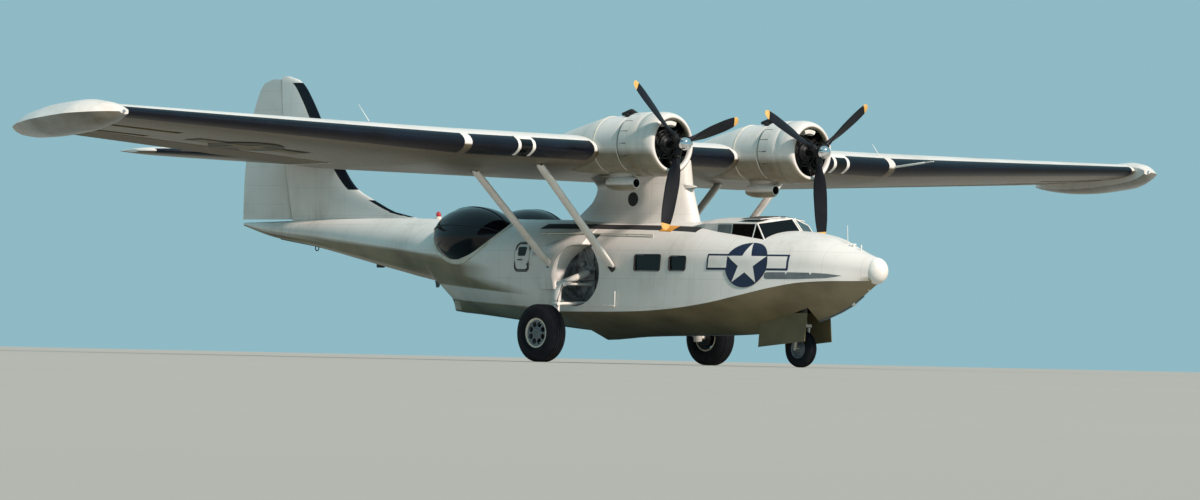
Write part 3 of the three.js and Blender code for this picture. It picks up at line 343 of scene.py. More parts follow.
def carve(obj, *tools, operation="DIFFERENCE"):
    """Cuts tools out of an object, or keeps what they share. A tool is a mesh, or a mesh and its finish."""
    for tool in tools:
        cutter = loose_object("cutter", *(tool if isinstance(tool, tuple) else (tool,)))
        modifier = obj.modifiers.new("cut", "BOOLEAN")
        modifier.operation = operation
        modifier.solver = "EXACT"
        modifier.material_mode = "TRANSFER"
        modifier.object = cutter
        graph = bpy.context.evaluated_depsgraph_get()
        baked = bpy.data.meshes.new_from_object(obj.evaluated_get(graph), depsgraph=graph)
        obj.modifiers.clear()
        old = obj.data
        obj.data = baked
        bpy.data.meshes.remove(old)
        bpy.data.objects.remove(cutter)
    return obj


def smooth_faces(obj, limit_degrees=32):
    """Smooth shading with edges sharper than the limit kept crisp."""
    bm = bmesh.new()
    bm.from_mesh(obj.data)
    bmesh.ops.remove_doubles(bm, verts=bm.verts, dist=2e-5)
    bmesh.ops.dissolve_degenerate(bm, edges=bm.edges, dist=1e-5)
    limit = math.radians(limit_degrees)
    for face in bm.faces:
        face.smooth = True
    for edge in bm.edges:
        edge.smooth = edge.calc_face_angle(math.pi) < limit
    bm.to_mesh(obj.data)
    bm.free()
    return obj


def dress(obj, body="airframe", replaces=None, limit=32):
    """Finishes a piece: shading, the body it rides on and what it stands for."""
    smooth_faces(obj, limit)
    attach(obj, body)
    if replaces:
        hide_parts(replaces)
    return obj


def paint_faces(obj, rule):
    """Sets each face's finish by a rule that gives its number from the middle of the face."""
    for polygon in obj.data.polygons:
        polygon.material_index = rule(polygon.center)


def piece(name, bm, finishes, body="airframe", replaces=None, limit=32, rule=None):
    """A finished piece from one mesh or a list, its faces painted by a rule if there is one."""
    made = loose_object(name, bm, finishes)
    if rule:
        paint_faces(made, rule)
    return dress(made, body, replaces, limit)


# Materials


def node(tree, kind, inputs=None, **settings):
    """Adds a node with its settings, values and links."""
    made = tree.nodes.new(kind)
    for key, value in settings.items():
        setattr(made, key, value)
    for socket, value in (inputs or {}).items():
        if isinstance(value, bpy.types.NodeSocket):
            tree.links.new(value, made.inputs[socket])
        else:
            made.inputs[socket].default_value = value
    return made


MATERIALS = {}


def shader(name, **constants):
    """A new material with its one surface shader, whose constants sit on its own sockets."""
    made = bpy.data.materials.new(name)
    made.use_nodes = True
    tree = made.node_tree
    tree.nodes.clear()
    surface = node(tree, "ShaderNodeBsdfPrincipled", {k.replace("_", " "): v for k, v in constants.items()})
    out = node(tree, "ShaderNodeOutputMaterial", {"Surface": surface.outputs[0]})
    out.location = (300, 0)
    MATERIALS[name] = made
    return tree, surface


def place(tree):
    """Object coordinates, which are the frame's metres on every piece, and their three parts."""
    coordinates = node(tree, "ShaderNodeTexCoord").outputs["Object"]
    return coordinates, node(tree, "ShaderNodeSeparateXYZ", {0: coordinates}).outputs


def math_node(tree, operation, a, b=0.0, c=0.0):
    """One arithmetic step."""
    return node(tree, "ShaderNodeMath", {0: a, 1: b, 2: c}, operation=operation).outputs[0]


def seam_mask(tree, along, pitch, width):
    """1 on thin lines a pitch apart, 0 between them."""
    folded = math_node(tree, "PINGPONG", along, pitch / 2)
    edges = {"From Min": width * 0.35, "From Max": width * 0.65, "To Min": 1.0, "To Max": 0.0}
    return node(tree, "ShaderNodeMapRange", {"Value": folded, **edges}).outputs[0]


def noise(tree, coordinates, size, detail=4.0, stretch=(1, 1, 1)):
    """Noise whose blotches have about the given size in metres, drawn out along the axes by stretch."""
    mapped = node(tree, "ShaderNodeMapping", {"Vector": coordinates, "Scale": [1 / s for s in stretch]})
    grain = {"Scale": 1 / size, "Detail": detail, "Roughness": 0.55}
    return node(tree, "ShaderNodeTexNoise", {"Vector": mapped.outputs[0], **grain}).outputs["Fac"]


def mapped_range(tree, value, low, high, to_low=0.0, to_high=1.0):
    """A value's range turned into another, held at its ends."""
    return node(tree, "ShaderNodeMapRange", {"Value": value, "From Min": low, "From Max": high,
                                             "To Min": to_low, "To Max": to_high}).outputs[0]


def blended(tree, factor, first, second):
    """One colour over another."""
    return node(tree, "ShaderNodeMix", {0: factor, 6: first, 7: second}, data_type="RGBA").outputs[2]


# Side wall of the planing bottom aft of the step, which keeps the plain white without the painted underside
# shade:
# where it starts, how far ahead of that and behind it reaches, its foot's height and slope, its depth and how
# that grows
BOTTOM_WALL = {"station": 8.38, "ahead": 0.5, "length": 4.2, "foot": 0.612, "slope": 0.0425, "depth": 0.27,
               "growth": 0.02}


def skin_paint(name, base, seams, sizes, paint, below, roughness=0.38, stain_top=None, fabric=False,
               wall=False):
    """Brushed white enamel over riveted aluminium plate: satin, with plate seams, rain streaks and grime.

    seams lists (axis number, pitch) pairs. below is the colour of faces that look down: partly oil, mud and
    exhaust stain, mostly painted shade and reflected ground light. stain_top is the height under which water
    has marked the sides. With wall, the side of the planing bottom aft of the step keeps the plain white,
    without that painted shade."""
    tree, surface = shader(name, IOR=1.5, Coat_Weight=0.0 if fabric else 0.12, Coat_Roughness=0.25)
    coordinates, parts = place(tree)
    mask = None
    for axis, pitch in seams:
        lines = seam_mask(tree, parts[axis], pitch, sizes.seam_width)
        mask = lines if mask is None else math_node(tree, "MAXIMUM", mask, lines)
    blotches = noise(tree, coordinates, 1.1, 5.0)
    streaks = noise(tree, coordinates, 0.11, 3.0, (1, 1, 9))
    fine = noise(tree, coordinates, 0.03, 2.0)
    dirty = math_node(tree, "MULTIPLY", mapped_range(tree, blotches, 0.45, 0.75),
                      mapped_range(tree, streaks, 0.35, 0.75, 0.15, 0.5))
    shade = blended(tree, dirty, colour(base), colour(paint.grime))
    if stain_top is not None:
        low = mapped_range(tree, parts[2], stain_top - 0.55, stain_top, 0.42, 0.0)
        wavy = math_node(tree, "MULTIPLY", low, mapped_range(tree, blotches, 0.3, 0.6, 0.5, 1.0))
        shade = blended(tree, wavy, shade, colour(paint.grime))
    # Painted shade with some real staining: faces that look down darken to the underside colour, the more so
    # the further down they face
    normal = node(tree, "ShaderNodeTexCoord").outputs["Normal"]
    facing = node(tree, "ShaderNodeSeparateXYZ", {0: normal}).outputs[2]
    underside_shade_colour = blended(tree, mapped_range(tree, blotches, 0.35, 0.7), colour(below), colour(paint.oil))
    underside_shade_mask = mapped_range(tree, facing, -0.12, -0.36, 0.0, 0.96)
    # The planing bottom's side wall aft of the step is left out of the painted underside shade
    if wall:
        aft = math_node(tree, "SUBTRACT", parts[1], STATION_ZERO + BOTTOM_WALL["station"])
        rise = math_node(tree, "SUBTRACT",
                         math_node(tree, "SUBTRACT", parts[2], KEEL_HEIGHT + BOTTOM_WALL["foot"]),
                         math_node(tree, "MULTIPLY", aft, BOTTOM_WALL["slope"]))
        deep = math_node(tree, "MULTIPLY_ADD", aft, BOTTOM_WALL["growth"], BOTTOM_WALL["depth"])
        top = math_node(tree, "SUBTRACT", deep, rise)
        inside = [mapped_range(tree, value, 0.0, 0.03) for value in
                  (rise, top, math_node(tree, "ADD", aft, BOTTOM_WALL["ahead"]),
                   math_node(tree, "SUBTRACT", BOTTOM_WALL["length"], aft))]
        no_underside_shade = inside[0]
        for value in inside[1:]:
            no_underside_shade = math_node(tree, "MULTIPLY", no_underside_shade, value)
        underside_shade_mask = math_node(tree, "MULTIPLY", underside_shade_mask, math_node(tree, "SUBTRACT", 1.0, no_underside_shade))
    shade = blended(tree, underside_shade_mask, shade, underside_shade_colour)
    shade = blended(tree, math_node(tree, "MULTIPLY", mask, 0.2), shade, colour("#5b5a55"))
    tree.links.new(shade, surface.inputs["Base Color"])
    tree.links.new(mapped_range(tree, fine, 0.3, 0.7, roughness - 0.06, roughness + 0.10),
                   surface.inputs["Roughness"])
    # Seams stand 2 mm proud and the plates between them are a little uneven, as drawn metal is
    waves = math_node(tree, "MULTIPLY", noise(tree, coordinates, 0.45, 2.0), 0.35 if not fabric else 0.15)
    height = math_node(tree, "ADD", waves, math_node(tree, "MULTIPLY", mask, -0.25 if not fabric else 0.6))
    bump = node(tree, "ShaderNodeBump", {"Height": height, "Strength": 0.35, "Distance": 0.012})
    tree.links.new(bump.outputs[0], surface.inputs["Normal"])


def worn_colour(name, base, dark, size=0.25, roughness=0.5, spread=0.12, amount=0.6, bump=0.1, **constants):
    """One base colour that drifts to a darker one in blotches, with uneven gloss and a slight texture."""
    tree, surface = shader(name, **constants)
    coordinates, _ = place(tree)
    blotches = noise(tree, coordinates, size, 5.0)
    fine = noise(tree, coordinates, size / 12, 3.0)
    mixed = math_node(tree, "MULTIPLY", mapped_range(tree, blotches, 0.4, 0.7), amount)
    tree.links.new(blended(tree, mixed, colour(base), colour(dark)), surface.inputs["Base Color"])
    tree.links.new(mapped_range(tree, fine, 0.3, 0.7, roughness - spread / 2, roughness + spread / 2),
                   surface.inputs["Roughness"])
    if bump:
        made_bump = node(tree, "ShaderNodeBump", {"Height": fine, "Strength": bump, "Distance": 0.004})
        tree.links.new(made_bump.outputs[0], surface.inputs["Normal"])


def make_materials(sizes, paint):
    """Every finish of the aeroplane, named for the real one."""
    # Each skin's colour for faces that look down is dark olive: partly stain, mostly painted shade and
    # reflected ground light
    wing_underside_shade = "#493d22"
    skin_paint("hull_enamel", paint.white, ((1, sizes.frame_pitch), (2, 0.58)), sizes, paint, "#7d7454",
               stain_top=1.35, wall=True)
    skin_paint("wing_enamel", paint.white, ((0, sizes.rib_pitch * 2), (1, 1.05)), sizes, paint, wing_underside_shade)
    skin_paint("tail_enamel", paint.white, ((2, 0.62), (1, 0.9)), sizes, paint, wing_underside_shade)
    skin_paint("cowl_enamel", paint.white, ((1, 0.46),), sizes, paint, "#8a8470", 0.3)
    skin_paint("float_enamel", paint.white, ((1, 0.46),), sizes, paint, "#8b9293", 0.3)
    # Gloss enamel on small fittings and the gear
    worn_colour("gear_enamel", "#e6e4df", "#ccc9be", 0.3, 0.32, 0.1, 0.6, 0.04)
    # Doped cotton: matt, ribs showing through as soft ridges
    for name, axis in (("doped_cotton", 0), ("rudder_cotton", 2)):
        ribs = ((axis, sizes.rib_pitch),)
        skin_paint(name, paint.fabric, ribs, sizes, paint, wing_underside_shade, 0.55, fabric=True)
    # Moulded rubber boots: nearly black with a wet gloss
    worn_colour("boot_rubber", paint.boot, "#0b1424", 0.6, 0.32, 0.12, 0.7, 0.06,
                Specular_IOR_Level=0.25)
    # Sprayed insignia paint, flat and a little faded
    worn_colour("insignia_blue", paint.insignia, "#22304f", 0.3, 0.5, 0.1, 0.6, 0.03)
    worn_colour("insignia_white", "#dddbd6", "#c4c2b9", 0.4, 0.45, 0.1, 0.5, 0.03)
    # Painted shade: the insignia's blue and white, and the white of the float legs, wing slots and bay doors,
    # darkened to olive as the undersides look in shade
    worn_colour("shaded_underside_blue", "#37342b", "#403c2d", 0.5, 0.55, 0.1, 0.8, 0.03)
    worn_colour("faded_white", "#665e42", "#544d36", 0.5, 0.55, 0.1, 0.8, 0.03)
    worn_colour("scuffed_grey", "#60686b", "#4a5155", 0.2, 0.6, 0.1, 0.8, 0.1)
    worn_colour("warning_orange", "#e39a2b", "#b9741c", 0.3, 0.45, 0.1, 0.5, 0.03)
    # Zinc primer gone grey in the bays, mottled with dark blotches
    worn_colour("bay_primer", paint.bay, "#1b1c1a", 0.16, 0.6, 0.15, 0.9, 0.15)
    worn_colour("cabin_dark", "#23282a", "#15181a", 0.4, 0.7, 0.1, 0.7, 0.1)
    worn_colour("walkway_grit", "#1b1c1e", "#2b2d2f", 0.02, 0.9, 0.08, 0.9, 0.6)
    # Vulcanised tyre rubber, dusty in blotches
    worn_colour("tyre_rubber", "#090e16", "#181c22", 0.12, 0.82, 0.12, 0.7, 0.3, Specular_IOR_Level=0.25)
    worn_colour("hub_magnesium", "#6f7a82", "#4a545a", 0.1, 0.45, 0.15, 0.7, 0.15, Metallic=0.25)
    worn_colour("oleo_chrome", "#cfd2d4", "#a2a5a6", 0.1, 0.12, 0.06, 0.4, 0.02, Metallic=1.0)
    worn_colour("cast_crankcase", "#2a2c2e", "#131415", 0.08, 0.42, 0.2, 0.8, 0.25, Metallic=0.7)
    worn_colour("black_cylinders", "#0c0c0e", "#1c1917", 0.1, 0.5, 0.2, 0.8, 0.2, Metallic=0.4)
    worn_colour("blade_black", "#090c14", "#14181f", 0.3, 0.5, 0.12, 0.7, 0.05, Specular_IOR_Level=0.2)
    worn_colour("tip_yellow", paint.tip, "#c08a2c", 0.1, 0.45, 0.1, 0.5, 0.03)
    worn_colour("polished_dome", "#e4e6e8", "#b9bbbd", 0.08, 0.1, 0.08, 0.5, 0.02, Metallic=1.0)
    worn_colour("sooty_steel", "#2b2421", "#151211", 0.06, 0.65, 0.2, 0.9, 0.2, Metallic=0.4)
    worn_colour("seat_leather", "#3b2b20", "#241a14", 0.05, 0.65, 0.15, 0.8, 0.4)
    worn_colour("frame_cream", "#d8d5c8", "#a9a492", 0.2, 0.45, 0.1, 0.6, 0.05)
    worn_colour("black_seal", "#16181a", "#2b2d2e", 0.1, 0.6, 0.1, 0.6, 0.1)
    worn_colour("brown_frame", "#3d2e28", "#241d1b", 0.1, 0.5, 0.1, 0.6, 0.1)
    worn_colour("red_lens", "#b3222a", "#7c1419", 0.05, 0.15, 0.05, 0.5, 0.02, Coat_Weight=0.6)
    # Acrylic and plate glass, which show dark from outside with a hard highlight: their near-black colours
    # are painted shade of the unlit inside seen through them. Columns: name, transmission, specular level,
    # size of the haze, its two colours, its highest roughness
    for name, through, specular, size, clear, hazy, rough in (
            ("acrylic_shaded_dark", 0.2, 0.4, 0.5, "#03050b", "#060d1e", 0.10),
            ("window_glass", 0.3, 0.35, 0.3, "#0c0c0e", "#060607", 0.09)):
        tree, surface = shader(name, IOR=1.45, Transmission_Weight=through, Specular_IOR_Level=specular)
        haze = noise(tree, place(tree)[0], size, 4.0)
        tree.links.new(blended(tree, haze, colour(clear), colour(hazy)), surface.inputs["Base Color"])
        tree.links.new(mapped_range(tree, haze, 0.3, 0.7, 0.03, rough), surface.inputs["Roughness"])


# Hull


def hull_half(row, grow=0.0, coarse=False):
    """Half of a hull section, from the keel over the chine to the deck's crown, as (x, height) pairs."""
    _, keel, chine, chine_height, tuck, tuck_height, side, side_height, deck = row
    bottom, between, arc = (3, 1, 5) if coarse else (8, 3, 14)
    half = []
    for i in range(bottom):
        t = i / bottom
        half.append(((chine + grow) * t, keel - grow + (chine_height - keel) * (t + 0.12 * t * (1 - t))))
    half.append((chine + grow, chine_height - grow * 0.5))
    for (x0, h0), (x1, h1), steps in (((chine, chine_height), (tuck, tuck_height), 2),
                                      ((tuck, tuck_height), (side, side_height), between)):
        for i in range(1, steps + 1):
            half.append((x0 + (x1 - x0) * i / steps + grow, h0 + (h1 - h0) * i / steps))
    for i in range(1, arc + 1):
        turn = i / arc * math.pi / 2
        half.append(((side + grow) * math.cos(turn),
                     side_height + (deck + grow - side_height) * math.sin(turn)))
    half[-1] = (0.0, deck + grow)
    half[0] = (0.0, keel - grow)
    return half


def hull_ring(station, grow=0.0, coarse=False):
    """One whole hull section as points of the frame."""
    half = hull_half(monotone_row(HULL, station), grow, coarse)
    port = [hull_point(x, station, h) for x, h in half]
    return port + [hull_point(-x, station, h) for x, h in reversed(half[1:-1])]


def hull_mesh(first, last, grow=0.0, coarse=False):
    """The hull between two stations."""
    steps = [row[0] for row in HULL]
    places = spaced(max(first, steps[0]), min(last, steps[-1]), 0.5 if coarse else RING_SPACING,
                    [7.86, 7.90, 12.50, 12.62])
    return loft([hull_ring(place_, grow, coarse) for place_ in places])


def hull_side(station, height):
    """Half-breadth of the hull at a height above the chine."""
    half = hull_half(monotone_row(HULL, station))
    above = [(x, h) for x, h in half if h >= monotone_row(HULL, station)[3] - 1e-6]
    for (x0, h0), (x1, h1) in zip(above, above[1:]):
        if h0 <= height <= h1:
            return x0 + (x1 - x0) * (height - h0) / (h1 - h0)
    return 0.0


# Fairing behind the wheel well. Columns: number, station and height at the well, at the outer edge, lift
FAIRING = (
    (0, 7.830, 1.011, 8.385, 1.01, 0.11),
    (1, 7.905, 1.31, 8.385, 1.42, 0.13),
    (2, 7.845, 1.578, 8.385, 1.90, 0.13),
    (3, 7.679, 1.796, 8.02, 2.04, 0.12),
    (4, 7.4345, 1.924, 7.64, 2.175, 0.10),
    (5, 7.195, 1.945, 7.40, 2.25, 0.08),
    (6, 7.195, 2.15, 7.28, 2.30, 0.05),
)
# Its section. Columns: share of the way out from the well, share of the lift
FAIRING_SECTION = ((0.0, 0.9), (0.03, 1.0), (0.15, 0.97), (0.35, 0.83), (0.6, 0.52), (0.8, 0.22), (1.0, 0.0))
WELL = {"station": 7.27, "height": 1.31, "radius": 0.64, "depth": 1.0, "front": 6.96, "rear": 7.20,
        "top": 2.16}
NOSE_BAY = {"half": 0.35, "front": 1.80, "rear": 3.12, "roof": 1.01}
COCKPIT = {"front": 1.90, "rear": 4.30}
WAIST = {"front": 8.52, "rear": 12.20}
DOOR = {"front": 8.78, "rear": 9.24, "low": 1.39, "high": 1.98, "corner": 0.09, "gap": 0.02}
DOOR_CUT = (-1.7, -1.0)
BLISTER = {"x": 0.78, "station": 11.08, "height": 2.12, "scale": (0.72, 1.09, 0.64), "zone": (9.4, 12.9)}
BOW_CAP = {"middle": (0.28, 1.461), "scale": (0.245, 0.25, 0.27)}
# Side windows. Columns: front station, rear station, low, high
WINDOWS = ((4.93, 5.63, 1.41, 1.73), (4.25, 4.67, 1.42, 1.70))


def blister_shape(side, grow):
    """The blister's ellipsoid, grown by a distance."""
    scale = [s + grow for s in BLISTER["scale"]]
    return ball(hull_point(side * BLISTER["x"], BLISTER["station"], BLISTER["height"]), scale, 48, 32)


def across(outline, x0, x1):
    """A slab across the hull between two half-breadths, from (station, height) pairs."""
    points = [hull_point(x0, s, h) for s, h in outline]
    return prism(points, Vector((x1 - x0, 0, 0)))


def well_cutters(side):
    """The round wheel well and the slot above it."""
    inner, outer = side * WELL["depth"], side * (WELL["depth"] + 1.2)
    low, high = sorted((inner, outer))
    return (rod((inner, WELL["station"], WELL["height"]), (outer, WELL["station"], WELL["height"]),
                WELL["radius"], sides=64),
            block((low, WELL["front"], WELL["height"]), (high, WELL["rear"], WELL["top"])))


def window_cutters():
    """Shallow pockets for the small side windows."""
    made = []
    for side in (1, -1):
        for front, rear, low, high in WINDOWS:
            depth = hull_side((front + rear) / 2, low) - 0.05
            outline = rounded_outline(front, rear, low, high, 0.05)
            made.append((across(outline, side * depth, side * (depth + 0.5)), "cabin_dark"))
    return made


class AMPHIBIAN_OT_hull(bpy.types.Operator):
    """Builds the hull's four bays, their openings, the bow cap, keel strip and side windows"""

    bl_idname = "amphibian.hull"
    bl_label = "Hull"

    def execute(self, context):
        bay, dark = "bay_primer", "cabin_dark"
        openings = {
            "hull_bow": [
                (block((-NOSE_BAY["half"], NOSE_BAY["front"], -0.1),
                       (NOSE_BAY["half"], NOSE_BAY["rear"], NOSE_BAY["roof"])), bay),
                (hull_mesh(COCKPIT["front"], COCKPIT["rear"], -WALL, True), dark),
                (prism([hull_point(x, s, 1.75) for x, s in ((-0.06, 2.42), (-0.60, 2.66), (-0.62, 4.12),
                                                           (0.62, 4.12), (0.60, 2.66), (0.06, 2.42))],
                       Vector((0, 0, 1.0))), dark),
                *window_cutters(),
            ],
            "hull_centre": [(cut, bay) for side in (1, -1) for cut in well_cutters(side)] + window_cutters(),
            "hull_waist": [
                (hull_mesh(WAIST["front"], WAIST["rear"], -WALL, True), dark),
                across(rounded_outline(DOOR["front"] - DOOR["gap"], DOOR["rear"] + DOOR["gap"],
                                       DOOR["low"] - DOOR["gap"], DOOR["high"] + DOOR["gap"],
                                       DOOR["corner"] + DOOR["gap"]), *DOOR_CUT),
                (blister_shape(1, -0.055), dark), (blister_shape(-1, -0.055), dark),
            ],
            "hull_tail": [],
        }
        ends = (-1.0, *BULKHEADS, 30.0)
        for name, first, last in zip(openings, ends, ends[1:]):
            bay_skin = loose_object(name + "_skin", hull_mesh(first, last), "hull_enamel")
            carve(bay_skin, *openings[name])
            dress(bay_skin, replaces=name, limit=30)
            self.crease(bay_skin.data)
        cap = ball(hull_point(0, *BOW_CAP["middle"]), BOW_CAP["scale"], 48, 32)
        piece("bow_cap", cap, "gear_enamel", replaces="nose_cap")
        self.trim()
        return {"FINISHED"}

    def crease(self, mesh):
        """Keeps the chine crisp over its whole length, and the edge above it soft."""
        bm = bmesh.new()
        bm.from_mesh(mesh)
        for edge in bm.edges:
            if len(edge.link_faces) != 2:
                continue
            middle = (edge.verts[0].co + edge.verts[1].co) / 2 - hull_point(0, 0, 0)
            row = monotone_row(HULL, middle.y)
            if abs(middle.y - edge.verts[0].co.y + STATION_ZERO) > 0.01 and abs(middle.x) > 0.03:
                edge.smooth = edge.smooth or abs(middle.z - row[5]) < 0.008 or abs(middle.z - row[7]) < 0.008
                edge.smooth = edge.smooth and abs(middle.z - row[3]) > 0.006
        bm.to_mesh(mesh)
        bm.free()

    def trim(self):
        """Keel strip, window frames and panes."""
        strip = []
        for first, last in ((0.6, 1.79), (3.13, 7.82), (7.95, 12.46), (12.66, 18.2)):
            rings = []
            for station in spaced(first, last, 0.3):
                keel = monotone_row(HULL, station)[1]
                rings.append([hull_point(x, station, keel + h) for x, h in
                              ((-0.022, 0.02), (-0.018, -0.012), (0.018, -0.012), (0.022, 0.02))])
            strip.append(loft(rings))
        piece("keel_strip", strip, "scuffed_grey")
        frames, panes = [], []
        for side in (1, -1):
            for front, rear, low, high in WINDOWS:
                middle = ((front + rear) / 2, (low + high) / 2)
                depth = hull_side(middle[0], low)
                outline = rounded_outline(front - 0.012, rear + 0.012, low - 0.012, high + 0.012, 0.06)
                rings = []
                for s, h in outline:
                    x = hull_side(s, h)
                    way = Vector((s - middle[0], h - middle[1])).normalized() * 0.012
                    rings.append([hull_point(side * (x + out), s + way.x * k, h + way.y * k)
                                  for out, k in ((-0.02, -1), (0.008, -1), (0.008, 1), (-0.02, 1))])
                rings.append(rings[0])
                frames.append(loft(rings, caps=False))
                panes.append(across(outline, side * (depth - 0.035), side * (depth - 0.03)))
        piece("window_frames", frames, "brown_frame")
        piece("window_panes", panes, "window_glass")


class AMPHIBIAN_OT_markings(bpy.types.Operator):
    """Lays the star-in-disc insignia and the scuffed strip on the skins"""

    bl_idname = "amphibian.markings"
    bl_label = "Markings"
    LIFT = 0.005
    # Chafe strip along the bow, as (station, height) pairs, notched where its plates meet
    STRIP = ((0.72, 1.35), (1.0, 1.385), (1.295, 1.40), (1.32, 1.35), (1.345, 1.40), (1.805, 1.405),
             (1.83, 1.35), (1.855, 1.405), (2.25, 1.40), (2.30, 1.38), (2.30, 1.29), (2.25, 1.265),
             (1.6, 1.27), (1.0, 1.30))

    def execute(self, context):
        for name, side in SIDES:
            self.star_and_bars(f"bow_insignia_{name}", 0.49,
                               lambda u, v, lift, side=side: self.on_hull(side, 2.75 + u, 1.57, v, lift),
                               "insignia_blue", "insignia_white")
            strip = self.cells(self.STRIP, 0.12)
            for vert in strip.verts:
                vert.co = self.on_hull(side, vert.co.x, 1.30, vert.co.y - 1.30, self.LIFT)
            bmesh.ops.recalc_face_normals(strip, faces=strip.faces)
            piece(f"chafe_strip_{name}", strip, "scuffed_grey")
        # Under the wing the disc takes the painted-shade olive copies of its blue and white
        self.star_and_bars("under_wing_insignia", 0.77,
                           lambda u, v, lift: self.on_wing(u - 10.25, 0.5, v, -lift),
                           "shaded_underside_blue", "faded_white")
        self.star_and_bars("upper_wing_insignia", 0.77,
                           lambda u, v, lift: self.on_wing(u + 10.25, 0.45, v, lift),
                           "insignia_blue", "insignia_white")
        return {"FINISHED"}

    def on_hull(self, side, station, middle, v, lift):
        """A point a distance v up the hull's skin from a middle height, lifted off the skin."""
        row = monotone_row(HULL, station)
        half = [Vector(p) for p in hull_half(row) if p[1] > row[3]]
        lengths = [0.0]
        for a, b in zip(half, half[1:]):
            lengths.append(lengths[-1] + (b - a).length)
        start = next(i for i, p in enumerate(half) if p.y >= middle)
        start_share = (middle - half[start - 1].y) / (half[start].y - half[start - 1].y)
        target = v + lengths[start - 1] + start_share * (lengths[start] - lengths[start - 1])
        k = next((i for i, length in enumerate(lengths) if length >= target and i), len(half) - 1)
        way = (half[k] - half[k - 1]).normalized()
        spot = half[k - 1] + way * (target - lengths[k - 1]) + Vector((way.y, -way.x)) * lift
        return hull_point(side * spot.x, station, spot.y)

    def on_wing(self, x, share, v, lift):
        """A point off the wing's upper face, or its lower one for a lift below 0. v runs forward."""
        plan = wing_plan(x)
        along = share - v / plan["chord"]
        half = thickness_at(along) * plan["thickness"] * plan["chord"]
        middle = 4 * CAMBER * along * (1 - along) * plan["chord"]
        return wing_point(x, along * plan["chord"], middle + math.copysign(half, lift) + lift)

    def cells(self, outline, pitch):
        """A flat outline in X and Y, cut into cells that can follow a curved skin."""
        bm = bmesh.new()
        bm.faces.new([bm.verts.new((x, y, 0)) for x, y in outline])
        for axis in (0, 1):
            low = min(p[axis] for p in outline)
            high = max(p[axis] for p in outline)
            normal = (1, 0, 0) if axis == 0 else (0, 1, 0)
            for cut in spaced(low, high, pitch)[1:-1]:
                bmesh.ops.bisect_plane(bm, geom=[*bm.verts, *bm.edges, *bm.faces], dist=1e-7,
                                       plane_co=[c * cut for c in normal], plane_no=normal)
        return bm

    def star_and_bars(self, name, radius, surface, blue, white):
        """The traditional five-pointed star in a disc, with a bar on each side and a thin border."""
        border = radius * 0.085
        disc = [(radius * math.cos(turn), radius * math.sin(turn)) for turn in turns(48)]
        star = []
        for turn, reach in zip(turns(10), (radius * 0.98, radius * (0.98 * 0.382)) * 5):
            star.append((reach * math.cos(math.pi / 2 + turn), reach * math.sin(math.pi / 2 + turn)))
        top, low = radius * 0.31, -radius * 0.19
        layers = [(disc, 0), (star, 1)]
        for way in (1, -1):
            inner, outer = radius * 0.93, radius * 1.85
            rim = [(way * inner * 0.9, low - border), (way * (outer + border), low - border),
                   (way * (outer + border), top + border), (way * inner * 0.9, top + border)]
            bar = [(way * inner, low), (way * outer, low), (way * outer, top), (way * inner, top)]
            layers.insert(0, (rim, 0))
            layers.insert(2, (bar, 1))
        parts = {0: [], 1: []}
        for order, (outline, kind) in enumerate(layers):
            bm = self.cells(outline, radius / 8)
            for vert in bm.verts:
                vert.co = surface(vert.co.x, vert.co.y, self.LIFT + 0.003 * order)
            parts[kind].append(bm)
        piece(name + "_blue", parts[0], blue)
        piece(name + "_white", parts[1], white)


